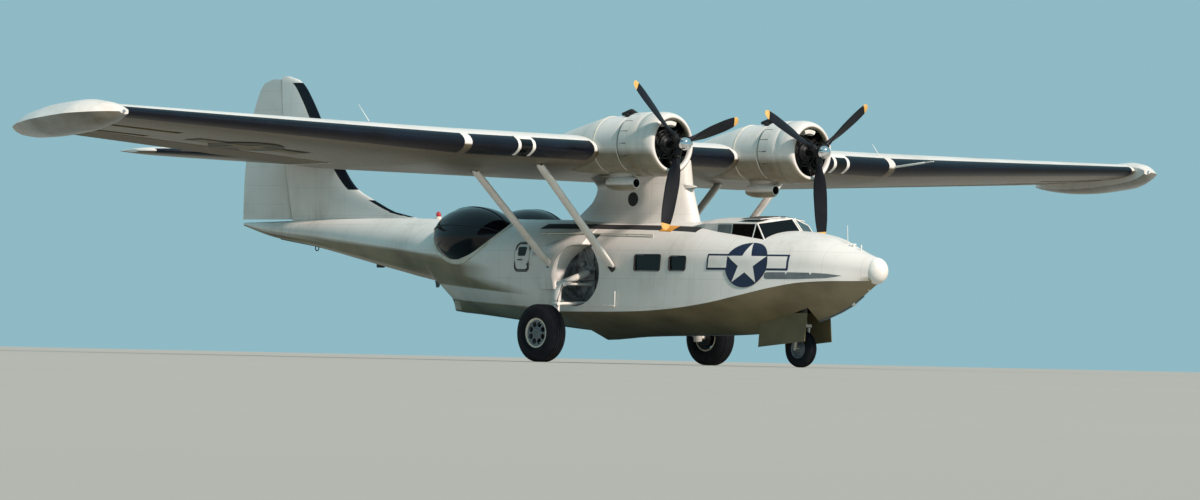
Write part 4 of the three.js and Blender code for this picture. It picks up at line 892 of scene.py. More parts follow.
class AMPHIBIAN_OT_cockpit(bpy.types.Operator):
    """Finishes the cockpit glasshouse and adds its bars, roof hatches, dials and seats"""

    bl_idname = "amphibian.cockpit"
    bl_label = "Cockpit"

    def execute(self, context):
        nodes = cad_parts
        for name, finish in (("canopy_frame", "cowl_enamel"), ("cockpit_glass", "window_glass"),
                             ("instrument_panel", "cabin_dark"), ("control_yoke", "black_seal")):
            nodes[name].data.materials.clear()
            nodes[name].data.materials.append(MATERIALS[finish])
        # Frames between the corners of the panes. Columns: start, end, radius at each end
        frames = [((0.80, 2.58, 2.01), (0.745, 2.865, 2.388), 0.015, 0.015),
                  ((0.807, 2.96, 2.0), (0.748, 2.89, 2.388), 0.014, 0.014),
                  ((0.745, 2.865, 2.388), (0.760, 3.96, 2.394), 0.015, 0.015),
                  ((0.745, 2.865, 2.388), (0.03, 2.585, 2.506), 0.018, 0.018),
                  ((0.80, 2.58, 2.01), (0.03, 2.30, 2.197), 0.018, 0.018),
                  ((0.03, 2.30, 2.197), (0.03, 2.585, 2.506), 0.016, 0.016)]
        piece("canopy_bars", bars(frames, (1, -1)), "gear_enamel")
        # Each pane's corners, front low, rear low, rear high, front high
        corners = (((0.812, 2.965, 1.985), (0.830, 3.54, 1.962), (0.762, 3.54, 2.391), (0.747, 2.895, 2.381)),
                   ((0.801, 2.60, 2.0), (0.812, 2.945, 1.987), (0.744, 2.878, 2.381), (0.743, 2.865, 2.381)),
                   ((0.03, 2.30, 2.19), (0.80, 2.58, 2.00), (0.74, 2.86, 2.38), (0.03, 2.58, 2.50)))
        panes = [mirrored(self.pane([hull_point(*c) for c in quad]), side)
                 for side in (1, -1) for quad in corners]
        piece("canopy_panes", panes, "window_glass")
        hatches, rims, panels = [], [], []
        for side in (1, -1):
            for made, grow, low, thick in ((hatches, 0.0, 2.541, 0.018), (rims, 0.03, 2.533, 0.016)):
                x0, x1 = side * (0.10 - grow), side * (0.62 + grow)
                outline = ((x0, 2.90 - grow), (x1, 2.90 - grow), (x1, 3.42 + grow), (x0, 3.42 + grow))
                made.append(prism([hull_point(x, s, low - abs(abs(x) - 0.1) * 0.115) for x, s in outline],
                                  Vector((0, 0, thick))))
            outline = ((0.806, 3.56, 2.13), (0.806, 3.94, 2.13), (0.768, 3.94, 2.365), (0.768, 3.56, 2.365))
            panels.append(prism([hull_point(side * x, s, h) for x, s, h in outline],
                                Vector((side * 0.006, 0, 0))))
        # The hatch panes' near-black colour is painted shade of the unlit cockpit behind them
        piece("roof_hatch_panes", hatches, "acrylic_shaded_dark")
        piece("roof_hatch_rims", rims, "cowl_enamel")
        piece("canopy_side_panels", panels, "scuffed_grey")
        self.dials()
        self.seats()
        return {"FINISHED"}

    def pane(self, corners):
        """A thin pane over a slightly twisted opening, a little smaller than it and just outside it."""
        middle = sum(corners, Vector()) / 4
        low_front, low_rear, high_rear, high_front = (c + (middle - c).normalized() * 0.022 for c in corners)
        out = (high_rear - low_front).cross(high_front - low_rear).normalized()
        out *= 1 if out.x > 0 else -1
        rings = []
        for i in range(7):
            low, high = low_front.lerp(low_rear, i / 6), high_front.lerp(high_rear, i / 6)
            line = [low.lerp(high, k / 6) for k in range(7)]
            rings.append([p + out * 0.010 for p in line] + [p + out * 0.005 for p in reversed(line)])
        return loft(rings)

    def dials(self):
        """Round dials in two rows across the panel, each with a raised bezel."""
        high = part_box("instrument_panel")[1]
        bezels, faces = [], []
        # Section of a bezel. Columns: radius, distance off the panel
        profile = ((0.042, 0.0), (0.055, 0.0), (0.055, 0.014), (0.046, 0.016), (0.042, 0.01), (0.042, 0.0))
        for row, height in enumerate((high.z - 0.14, high.z - 0.34)):
            for i in range(8 - row):
                x = (i - (7 - row) / 2) * 0.145
                middle = Vector((x, high.y, height))
                bezels.append(spun(profile, middle, (0, 1, 0), 20))
                faces.append(tube(middle + Vector((0, 0.001, 0)), middle + Vector((0, 0.006, 0)), 0.043,
                                  sides=20))
        piece("dial_bezels", bezels, "scuffed_grey")
        piece("dial_faces", faces, "insignia_white")

    def seats(self):
        """Leather seats with rounded cushions in place of the plain ones."""
        for name, side in SIDES:
            x = side * 0.42
            parts = [block((x - 0.205, 2.985, 1.43), (x + 0.205, 3.40, 1.53), 0.035),
                     block((x - 0.20, 3.39, 1.50), (x + 0.20, 3.46, 2.05), 0.03),
                     block((x - 0.05, 3.10, 1.145), (x + 0.05, 3.28, 1.44), 0.01)]
            piece(f"pilot_seat_{name}", parts, "seat_leather", replaces=f"seat_{name}")


class AMPHIBIAN_OT_blisters(bpy.types.Operator):
    """Builds the two waist blisters with their rims and ribs"""

    bl_idname = "amphibian.blisters"
    bl_label = "Blisters"

    def execute(self, context):
        for name, side in SIDES:
            # The blister's near-black colour is painted shade of the unlit waist behind it
            glass = loose_object(f"blister_shell_{name}", blister_shape(side, 0.0), "acrylic_shaded_dark")
            carve(glass, blister_shape(side, -0.012), hull_mesh(*BLISTER["zone"], 0.001))
            dress(glass, replaces=f"blister_glass_{name}")
            rim = loose_object(f"blister_rim_{name}", blister_shape(side, 0.06), "frame_cream")
            carve(rim, hull_mesh(*BLISTER["zone"], 0.022), operation="INTERSECT")
            carve(rim, hull_mesh(*BLISTER["zone"], 0.001), blister_shape(side, 0.002))
            dress(rim)
            ribs = [self.rib(side, math.radians(degrees)) for degrees in (22, 80)]
            rib = loose_object(f"blister_ribs_{name}", ribs, "cabin_dark")
            carve(rib, hull_mesh(*BLISTER["zone"], 0.002))
            dress(rib)
        return {"FINISHED"}

    def rib(self, side, turn):
        """A flat strip over the glass from one end to the other, at an angle above the level."""
        section = ((-1, 0.001), (-1, 0.010), (1, 0.010), (1, 0.001))
        return loft([[self.on_glass(side, math.pi * (i / 48), turn + way * 0.022, lift)
                      for way, lift in section] for i in range(49)])

    def on_glass(self, side, swing, turn, lift):
        """A point over the glass, swung aft from its front end and turned above the level."""
        a, b, c = (s + lift for s in BLISTER["scale"])
        x = side * (BLISTER["x"] + a * math.sin(swing) * math.cos(turn))
        return hull_point(x, BLISTER["station"] - b * math.cos(swing),
                          BLISTER["height"] + c * math.sin(swing) * math.sin(turn))


class AMPHIBIAN_OT_entry_hatch(bpy.types.Operator):
    """Builds the entry hatch with its seal, window and handle"""

    bl_idname = "amphibian.entry_hatch"
    bl_label = "Entry hatch"

    def execute(self, context):
        outline = rounded_outline(DOOR["front"], DOOR["rear"], DOOR["low"], DOOR["high"], DOOR["corner"])
        window = rounded_outline(DOOR["front"] + 0.11, DOOR["rear"] - 0.09, DOOR["low"] + 0.31,
                                 DOOR["high"] - 0.09, 0.05)
        hatch = loose_object("hatch_panel", hull_mesh(8.5, 9.6), "hull_enamel")
        carve(hatch, hull_mesh(8.3, 9.8, -0.035), across(window, *DOOR_CUT))
        carve(hatch, across(outline, *DOOR_CUT), operation="INTERSECT")
        dress(hatch, "entry_hatch", replaces="entry_hatch")
        pane = across(window, -(hull_side(9.0, 1.75) - 0.03), -(hull_side(9.0, 1.75) - 0.025))
        piece("hatch_pane", pane, "window_glass", "entry_hatch")
        seal = []
        middle = ((DOOR["front"] + DOOR["rear"]) / 2, (DOOR["low"] + DOOR["high"]) / 2)
        for s, h in outline:
            way = Vector((s - middle[0], h - middle[1])).normalized()
            spots = [(out, s + way.x * k, h + way.y * k) for out, k in
                     ((-0.02, -0.035), (0.018, -0.035), (0.018, -0.006), (-0.02, -0.006))]
            seal.append([hull_point(-(hull_side(a, b) + out), a, b) for out, a, b in spots])
        seal.append(seal[0])
        piece("hatch_seal", loft(seal, caps=False), "black_seal", "entry_hatch")
        handle = rod((-1.452, 8.97, 1.62), (-1.452, 9.10, 1.62), 0.012, bevel=0.003)
        piece("hatch_handle", handle, "black_seal", "entry_hatch")
        knuckles = []
        for height in (1.50, 1.88):
            for low, high in ((height + FIT_GAP, height + 0.045),):
                knuckles.append(tube(self.axis(low), self.axis(high), 0.016, sides=16, bevel=0.002))
                middle_point = self.axis((low + high) / 2)
                knuckles.append(tube(middle_point, middle_point + Vector((0.11, 0.05, 0)), 0.010, sides=12))
        piece("hatch_hinges", knuckles, "scuffed_grey", "entry_hatch")
        return {"FINISHED"}

    def axis(self, height):
        """A point of the hatch's hinge line."""
        share = (height - 1.39) / (1.98 - 1.39)
        return hull_point(-1.512 + (1.512 - 1.398) * share, DOOR["front"] - 0.004, height)


# Wing


def thickness_at(share):
    """Half-thickness of a four-digit section at a share of its chord, for a thickness share of 1."""
    share = min(1.0, max(0.0, share))
    return 5 * (0.2969 * math.sqrt(share) - 0.126 * share - 0.3516 * share ** 2 + 0.2843 * share ** 3
                - 0.1015 * share ** 4)


def wing_plan(x):
    """The wing's station, chord, height and thickness share at a place along the span."""
    root, tip = WING_PLAN
    share = max(0.0, (abs(x) - root[0]) / (tip[0] - root[0]))
    station, chord, height, thickness = (a + (b - a) * share for a, b in zip(root[1:], tip[1:]))
    return {"station": station, "chord": chord, "height": height, "thickness": thickness}


def wing_point(x, along, up):
    """A point given along and above the chord line."""
    plan = wing_plan(x)
    return hull_point(x, plan["station"] + along * math.cos(INCIDENCE) + up * math.sin(INCIDENCE),
                      plan["height"] - along * math.sin(INCIDENCE) + up * math.cos(INCIDENCE))


SECTION_STEPS = 26


def wing_ring(x, grow=0.0):
    """The wing's section at a place along the span, from the trailing edge over the top and back below."""
    plan = wing_plan(x)
    points = []
    for i in range(-SECTION_STEPS, SECTION_STEPS + 1):
        share = (1 - math.cos(math.pi * abs(i) / SECTION_STEPS)) / 2
        half = thickness_at(share) * plan["thickness"] * plan["chord"] + grow
        middle = 4 * CAMBER * share * (1 - share) * plan["chord"]
        half = 0.0 if i == 0 else half
        points.append(wing_point(x, share * plan["chord"], middle + (half if i < 0 else -half)))
    return points


def underside(x, station):
    """Height of the wing's lower face, in hull measure."""
    plan = wing_plan(x)
    share = (station - plan["station"]) / math.cos(INCIDENCE) / plan["chord"]
    up = (4 * CAMBER * share * (1 - share) - thickness_at(share) * plan["thickness"]) * plan["chord"]
    return wing_point(x, share * plan["chord"], up).z - KEEL_HEIGHT


def boot_rule(point, inner, outer, middle=0.0):
    """Material number on the wing: 1 on the rubber boot along the leading edge, else 0."""
    x = abs(point.x)
    plan = wing_plan(x)
    along = (point.y - STATION_ZERO - plan["station"]) / math.cos(INCIDENCE) / plan["chord"]
    above = point.z - KEEL_HEIGHT - plan["height"] > 0
    depth = 0.032 if above else 0.062
    return 1 if along < depth and (inner < x < outer or x < middle) else 0


FLOAT_PIVOT = 12.64
FLOAT_LEGS = {"stations": (6.95, 7.95), "width": 0.19, "depth": 0.07, "rise": 0.02, "room": 0.032}
FLOAT_DECK = WING_TIP + 0.012


def float_leg(station, grow, top_room=0.0, open_below=0.0):
    """A float's leg, or the slot that it folds into."""
    half_width, half_depth = FLOAT_LEGS["width"] / 2 + grow, FLOAT_LEGS["depth"] / 2 + grow
    rings = []
    for x in (FLOAT_PIVOT - grow * 7, FLOAT_DECK + 0.12):
        height = underside(x, station) + FLOAT_LEGS["rise"] + FLOAT_LEGS["depth"] / 2
        rings.append([hull_point(x, station + s, height + h) for s, h in
                      ((-half_width, -half_depth - open_below), (half_width, -half_depth - open_below),
                       (half_width, half_depth + top_room), (-half_width, half_depth + top_room))])
    return loft(rings)


def hinge_place(x):
    """The aileron's hinge line, in the middle of the section."""
    plan = wing_plan(x)
    share = AILERON["share"]
    return wing_point(x, share * plan["chord"], 4 * CAMBER * share * (1 - share) * plan["chord"])


def hinge_radius(x):
    """Radius of the aileron's round nose, a little inside the wing's skin."""
    plan = wing_plan(x)
    return thickness_at(AILERON["share"]) * plan["thickness"] * plan["chord"] - 0.003


def aileron_zone(x0, x1, ahead):
    """Everything aft of the aileron's hinge line, between two places along the span."""
    corners = ((-ahead, -1), (-ahead, 1), (2, 1), (2, -1))
    return loft([[hinge_place(x) + Vector((0, aft, up)) for aft, up in corners] for x in (x0, x1)])


class AMPHIBIAN_OT_wing(bpy.types.Operator):
    """Builds the centre section, the outer panels with their boots, and the landing lights"""

    bl_idname = "amphibian.wing"
    bl_label = "Wing"

    def execute(self, context):
        skins = "wing_enamel boot_rubber"
        places = spaced(-WING_JOINT, WING_JOINT, 0.2, (-6.12, -2.72, -1.36, 1.36, 2.72, 6.12))
        centre = loft([wing_ring(x) for x in places])
        piece("wing_centre_skin", centre, skins, replaces="wing_centre",
              rule=lambda p: boot_rule(p, 2.74, 6.12, 1.36))
        for name, side in SIDES:
            rings = [wing_ring(x) for x in spaced(WING_JOINT + FIT_GAP, WING_TIP, 0.2, (6.32, 14.7))]
            outer = loose_object(f"wing_outer_skin_{name}", mirrored(loft(rings), side), skins)
            paint_faces(outer, lambda p: boot_rule(p, 6.32, 14.7))
            gap = AILERON["end_gap"]
            zone = aileron_zone(AILERON["inner"] - gap, AILERON["outer"] + gap,
                                hinge_radius(AILERON["inner"]) + AILERON["running"])
            # The slots' cut faces take the dark olive painted-shade white
            slots = [(mirrored(float_leg(station, 0.014, FLOAT_LEGS["room"], 0.4), side), "faded_white")
                     for station in FLOAT_LEGS["stations"]]
            carve(outer, mirrored(zone, side), *slots)
            dress(outer, replaces=f"wing_outer_{name}")
        self.landing_lights()
        return {"FINISHED"}

    def landing_lights(self):
        """A framed lamp window in each leading edge, its frame in bright paint."""
        frames, lenses = [], []
        for side in (1, -1):
            frames += [self.edge_strip(side, *ends, 0.036, below) for *ends, below in
                       ((4.38, 4.46, 0.045), (4.78, 4.86, 0.045), (4.38, 4.86, 0.0))]
            lenses.append(self.edge_strip(side, 4.46, 4.78, 0.020, 0.058, lift=0.004))
        piece("landing_light_frames", frames, "gear_enamel")
        piece("landing_light_lenses", lenses, "window_glass")

    def edge_strip(self, side, x0, x1, above, below, lift=0.007):
        """A strip wrapped round the leading edge between two places, to shares of the chord above and below.

        With nothing below it stays on the upper face, near its rear edge."""
        rings = []
        for x in (x0, x1):
            plan = wing_plan(x)
            outer, inner = [], []
            shares = [above * (1 - 0.6 * i / 4) for i in range(5)]
            if below:
                shares = [above * (1 - i / 8) ** 2 for i in range(9)]
                shares += [-below * (i / 8) ** 2 for i in range(1, 9)]
            for share in shares:
                way = 1 if share >= 0 else -1
                half = thickness_at(abs(share)) * plan["thickness"] * plan["chord"]
                middle = 4 * CAMBER * abs(share) * (1 - abs(share)) * plan["chord"]
                for points, out in ((outer, lift), (inner, -0.002)):
                    nose = -out if abs(share) < 0.01 else 0.0
                    points.append(wing_point(x, abs(share) * plan["chord"] + nose,
                                             middle + way * (half + out)))
            rings.append([Vector((side * p.x, p.y, p.z)) for p in outer + inner[::-1]])
        return loft(rings)


class AMPHIBIAN_OT_ailerons(bpy.types.Operator):
    """Builds the fabric-covered ailerons"""

    bl_idname = "amphibian.ailerons"
    bl_label = "Ailerons"

    def execute(self, context):
        for name, side in SIDES:
            x0, x1 = AILERON["inner"] + AILERON["inset"], AILERON["outer"] - AILERON["inset"]
            panel = loft([wing_ring(x) for x in spaced(AILERON["inner"] - 0.2, AILERON["outer"] + 0.2, 0.2)])
            aileron = loose_object(f"aileron_skin_{name}", mirrored(panel, side), "doped_cotton")
            carve(aileron, mirrored(aileron_zone(x0, x1, 0.0), side), operation="INTERSECT")
            dress(aileron, f"aileron_{name}", replaces=f"aileron_{name}")
            ends = AILERON["inner"], AILERON["outer"]
            nose = tube(*[hinge_place(x) for x in ends], *[hinge_radius(x) for x in ends], 32)
            piece(f"aileron_nose_{name}", mirrored(nose, side), "doped_cotton", f"aileron_{name}")
        return {"FINISHED"}


# Tip float. Columns: station, half-beam, depth outboard of the tip, height of its middle
FLOAT = (
    (5.80, 0.05, 0.22, 4.045),
    (5.88, 0.115, 0.45, 4.038),
    (6.05, 0.205, 0.74, 4.02),
    (6.55, 0.30, 1.03, 3.975),
    (7.25, 0.31, 1.05, 3.905),
    (7.95, 0.27, 0.88, 3.84),
    (8.55, 0.18, 0.56, 3.79),
    (8.90, 0.09, 0.28, 3.762),
    (9.02, 0.04, 0.15, 3.75),
)
# Section of the float from its deck to its keel. Columns: share of the depth, share of the half-beam
FLOAT_SECTION = ((0.0, 0.62), (0.06, 0.80), (0.18, 0.95), (0.34, 1.0), (0.5, 0.94), (0.68, 0.74),
                 (0.85, 0.42), (1.0, 0.0))


class AMPHIBIAN_OT_floats(bpy.types.Operator):
    """Builds the folding tip floats with their legs"""

    bl_idname = "amphibian.floats"
    bl_label = "Tip floats"

    def execute(self, context):
        section = [*FLOAT_SECTION, *[(out, -up) for out, up in reversed(FLOAT_SECTION[:-1])]]
        for name, side in SIDES:
            rings = []
            for station in spaced(FLOAT[0][0], FLOAT[-1][0], 0.08):
                _, beam, depth, middle = monotone_row(FLOAT, station)
                rings.append([hull_point(FLOAT_DECK + out * depth, station, middle + up * beam)
                              for out, up in section])
            body = f"tip_float_{name}"
            piece(f"float_shell_{name}", mirrored(loft(rings), side), "float_enamel", body, replaces=body,
                  limit=28)
            legs = [float_leg(station, 0.0) for station in FLOAT_LEGS["stations"]]
            half = FLOAT_LEGS["width"] / 2 + 0.006
            legs += [rod(*[(FLOAT_PIVOT, s, self.axis_height(s)) for s in (station - half, station + half)],
                         FLOAT_LEGS["depth"] / 2, sides=24, bevel=0.004)
                     for station in FLOAT_LEGS["stations"]]
            ahead, behind = FLOAT_LEGS["stations"]
            brace = rod((14.3, ahead + 0.1, self.axis_height(7.0) + 0.14),
                        (14.3, behind - 0.1, self.axis_height(7.9) + 0.14), 0.018)
            # The legs take the dark olive painted-shade white of the undersides
            piece(f"float_legs_{name}", mirrored([*legs, brace], side), "faded_white", body)
            lamp = ball(hull_point(FLOAT_DECK + 0.12, 5.80, 4.05), (0.035, 0.05, 0.035), 20, 12)
            piece(f"float_lamp_{name}", mirrored(lamp, side), "polished_dome", body)
        return {"FINISHED"}

    def axis_height(self, station):
        """Height of the folding line, which runs parallel to the chord."""
        heights = [underside(FLOAT_PIVOT, s) + FLOAT_LEGS["rise"] + FLOAT_LEGS["depth"] / 2
                   for s in FLOAT_LEGS["stations"]]
        first, last = FLOAT_LEGS["stations"]
        return heights[0] + (heights[1] - heights[0]) * (station - first) / (last - first)


# Pylon. Columns: height, front station, rear station, half-breadth
PYLON = (
    (2.25, 5.23, 8.90, 0.64),
    (2.50, 5.29, 8.80, 0.58),
    (2.90, 5.42, 8.33, 0.53),
    (3.15, 5.50, 8.22, 0.53),
    (3.40, 5.545, 8.48, 0.56),
    (3.84, 5.62, 8.85, 0.60),
)
# Struts. Columns: name, hull foot station, wing station
STRUTS = (("front", 6.25, 6.30), ("rear", 8.04, 8.20))
STRUT = {"hull_x": 1.44, "wing_x": 3.60, "foot": 1.41, "chord": 0.23, "depth": 0.10}


class AMPHIBIAN_OT_pylon_and_struts(bpy.types.Operator):
    """Builds the pylon with its round windows, and the wing struts with their fittings"""

    bl_idname = "amphibian.pylon_and_struts"
    bl_label = "Pylon and struts"

    def execute(self, context):
        rings = [self.pylon_ring(height) for height in spaced(2.30, 3.84, 0.08)]
        pylon = loose_object("pylon_skin", loft(rings), "tail_enamel")
        carve(pylon, loft([wing_ring(x, 0.0005) for x in (-2.0, 0.0, 2.0)]), hull_mesh(4.9, 9.3, 0.0005),
              block((-1, 5.0, 3.84), (1, 9.5, 4.9)))
        dress(pylon, replaces="pylon")
        profile = ((0.115, -0.05), (0.145, -0.05), (0.145, 0.012), (0.13, 0.018), (0.115, 0.012),
                   (0.115, -0.05))
        rims = [spun(profile, hull_point(side * 0.53, 6.64, 2.90), (side, 0, 0), 40) for side in (1, -1)]
        # Opaque dark discs stand in for the panes: painted shade of the unlit inside
        panes = [rod((side * 0.49, 6.64, 2.90), (side * 0.542, 6.64, 2.90), 0.117, sides=40)
                 for side in (1, -1)]
        piece("pylon_window_rims", rims, "black_seal")
        piece("pylon_window_panes", panes, "cabin_dark")
        self.lip()
        for name, foot, top in STRUTS:
            for side_name, side in SIDES:
                self.strut(f"{name}_{side_name}", side, foot, top)
        return {"FINISHED"}

    def pylon_ring(self, height):
        """A streamlined section, blunt in front and drawn to an edge behind."""
        _, front, rear, half = monotone_row(PYLON, height)
        outline = []
        for i in range(33):
            share = (1 - math.cos(math.pi * i / 32)) / 2
            width = half * min(1, math.sqrt(share / 0.3)) if share < 0.3 else half
            width *= 1 if share < 0.45 else math.cos((share - 0.45) / 0.55 * math.pi / 2) ** 0.8
            outline.append((width, front + share * (rear - front)))
        outline[0] = (0.0, front)
        outline[-1] = (0.012, rear)
        ring = [hull_point(x, s, height) for x, s in outline]
        return ring + [hull_point(-x, s, height) for x, s in reversed(outline[1:])]

    def lip(self):
        """The small pointed lip on the pylon's leading edge."""
        rings = [[hull_point(x * k, s, 3.17 + h * k) for x, h in ((0.16, -0.05), (0.16, 0.05), (-0.16, 0.05),
                                                                  (-0.16, -0.05))]
                 for s, k in ((5.34, 0.12), (5.42, 0.45), (5.60, 1.0), (5.75, 1.1))]
        piece("pylon_lip", loft(rings), "tail_enamel", limit=60)

    def strut(self, name, side, foot_station, wing_station):
        """A streamlined tube from the hull to the wing, with a dark fork at its foot and its top."""
        foot = hull_point(STRUT["hull_x"], foot_station, STRUT["foot"])
        top = hull_point(STRUT["wing_x"], wing_station, underside(STRUT["wing_x"], wing_station) + 0.02)
        way = (top - foot).normalized()
        across_way = (Vector((0, 1, 0)) - way * way.y).normalized()
        thick_way = way.cross(across_way)
        rings = []
        # Columns: share of the length, share of the chord
        for share, size in ((0.0, 0.35), (0.02, 0.55), (0.05, 0.9), (0.09, 1.0), (0.5, 1.0), (0.93, 1.0),
                            (0.97, 0.95), (1.0, 0.9)):
            spot = foot + (top - foot) * share
            rings.append([spot + across_way * (STRUT["chord"] / 2 * size * math.cos(a))
                          + thick_way * (STRUT["depth"] / 2 * size * math.sin(a) * (1 - 0.25 * math.cos(a)))
                          for a in turns(28)])
        piece(f"strut_{name}", mirrored(loft(rings), side), "gear_enamel", replaces=f"wing_strut_{name}",
              limit=60)
        clevis = [tube(foot - way * 0.12 + across_way * k * 0.055, foot + way * 0.13 + across_way * k * 0.055,
                       0.045, 0.026, 16, 0.005) for k in (-1, 1)]
        clevis.append(tube(foot - across_way * 0.12, foot + across_way * 0.12, 0.032, sides=16, bevel=0.004))
        clevis.append(tube(foot - way * 0.05, foot + way * 0.15, 0.058, 0.068, 24, 0.01))
        clevis += [tube(top - way * 0.16 + across_way * k * 0.07, top + across_way * k * 0.07, 0.020, 0.040,
                        16, 0.004) for k in (-1, 1)]
        piece(f"strut_fittings_{name}", mirrored(clevis, side), "black_seal")


# Nacelle. Columns: station, radius, height of its middle
NACELLE = (
    (4.9603, 0.52, 3.95),
    (5.05, 0.585, 3.95),
    (5.70, 0.585, 3.945),
    (6.30, 0.52, 3.89),
    (7.00, 0.40, 3.83),
    (7.70, 0.25, 3.76),
    (8.20, 0.09, 3.70),
)
# Oil cooler under the nacelle. Columns: station, radius
COOLER = ((5.04, 0.105), (5.06, 0.125), (5.19, 0.15), (5.45, 0.155), (5.68, 0.14), (5.83, 0.10))
COOLER_HEIGHT = 3.17
# Its neck. Columns: height, half-breadth, middle station, half-length
COOLER_NECK = ((3.20, 0.075, 5.445, 0.295), (3.34, 0.095, 5.46, 0.34), (3.44, 0.13, 5.49, 0.41))
# Cowl. Columns: radius, distance aft of its front
COWL_PROFILE = ((0.495, 0.075), (0.497, 0.045), (0.507, 0.018), (0.526, 0.003), (0.55, 0.0), (0.575, 0.006),
                (0.60, 0.03), (0.622, 0.07), (0.640, 0.13), (0.651, 0.20), (0.655, 0.27), (0.655, 0.44),
                (0.652, 0.445), (0.652, 0.455), (0.655, 0.46), (0.655, 0.60), (0.655, 0.70), (0.635, 0.70),
                (0.637, 0.56), (0.637, 0.27), (0.605, 0.13), (0.515, 0.09), (0.495, 0.075))
COWL_FRONT = 4.02
COWL_FLAPS = 16


class AMPHIBIAN_OT_nacelles(bpy.types.Operator):
    """Builds the nacelles, their oil coolers, exhausts and panel bands"""

    bl_idname = "amphibian.nacelles"
    bl_label = "Nacelles"

    def execute(self, context):
        for name, side in SIDES:
            x = side * ENGINE_X
            rings = [self.ring(x, *monotone_row(NACELLE, station), 48)
                     for station in spaced(NACELLE[0][0], NACELLE[-1][0], 0.12)]
            shell = loose_object(f"nacelle_skin_{name}", loft(rings), "cowl_enamel")
            carve(shell, loft([wing_ring(x + k, 0.0005) for k in (-0.9, 0.9)]))
            dress(shell, replaces=f"nacelle_{name}")
            rings = [self.ring(x, *monotone_row(COOLER, station), COOLER_HEIGHT, 32)
                     for station in spaced(COOLER[0][0], COOLER[-1][0], 0.05)]
            scoop = loose_object(f"oil_cooler_{name}", loft(rings), "cowl_enamel")
            mouth = rod((x, 4.94, COOLER_HEIGHT), (x, 5.30, COOLER_HEIGHT), 0.088, sides=32)
            carve(scoop, (mouth, "cabin_dark"))
            dress(scoop)
            rings = [[hull_point(x + half * math.sin(a), middle - length * math.cos(a), height)
                      for a in turns(24)] for height, half, middle, length in COOLER_NECK]
            piece(f"cooler_neck_{name}", loft(rings), "cowl_enamel")
            stubs = bars([((x, 4.99, 4.50), (x, 5.24, 4.60), 0.07, 0.085),
                          ((x, 5.22, 4.60), (x, 5.48, 4.575), 0.08, 0.03),
                          ((x - 0.16, 5.0, 4.46), (x - 0.14, 5.22, 4.545), 0.045, 0.05),
                          ((x + 0.16, 5.0, 4.46), (x + 0.14, 5.22, 4.545), 0.045, 0.05)])
            piece(f"exhaust_{name}", stubs, "sooty_steel")
            bands = [spun(((0.578, -0.012), (0.59, -0.012), (0.592, 0.0), (0.59, 0.012), (0.578, 0.012)),
                          hull_point(x, station, ENGINE_HEIGHT), (0, 1, 0), 64) for station in (5.06, 5.72)]
            piece(f"nacelle_bands_{name}", bands, "frame_cream")
        return {"FINISHED"}

    def ring(self, x, station, radius, height, sides):
        """A round section."""
        return [hull_point(x + radius * math.cos(a), station, height + radius * math.sin(a))
                for a in turns(sides)]


class AMPHIBIAN_OT_cowlings(bpy.types.Operator):
    """Builds the cowling rings and their cooling flaps"""

    bl_idname = "amphibian.cowlings"
    bl_label = "Cowlings"

    def execute(self, context):
        for name, side in SIDES:
            hub = hull_point(side * ENGINE_X, COWL_FRONT, ENGINE_HEIGHT)
            ring = spun(COWL_PROFILE, hub, (0, 1, 0), 96)
            piece(f"cowl_ring_{name}", ring, "cowl_enamel", replaces=f"cowling_{name}")
            flaps = [self.flap(hub, turn + math.pi / COWL_FLAPS) for turn in turns(COWL_FLAPS)]
            piece(f"cowl_flaps_{name}", flaps, "cowl_enamel")
            piece(f"intake_lip_{name}", self.intake(hub), "gear_enamel")
        return {"FINISHED"}

    def flap(self, hub, turn):
        """One flap: a curved plate with a little gap to its neighbours."""
        half = math.pi / COWL_FLAPS * 0.94
        rings = []
        for station, radius in ((0.705, 0.652), (0.80, 0.654), (0.93, 0.648)):
            outer = [(turn + half * k, radius) for k in (-1, -0.5, 0, 0.5, 1)]
            inner = [(turn + half * k, radius - 0.012) for k in (1, 0.5, 0, -0.5, -1)]
            rings.append([hub + spoke(a, r, station) for a, r in outer + inner])
        return loft(rings)

    def intake(self, hub):
        """The pale lip of the air intake inside the top of the cowl."""
        # Columns: radius, distance aft
        section = ((0.37, 0.12), (0.39, 0.075), (0.45, 0.065), (0.485, 0.09), (0.485, 0.24), (0.37, 0.24))
        return loft([[hub + spoke(math.radians(-20 + 40 * i / 24), r, y) for r, y in section]
                     for i in range(25)])


# Engine and propeller
CYLINDERS = 7
# Columns: station of the row, share of a step that it is turned
ENGINE_ROWS = ((4.30, 0.0), (4.49, 0.5))


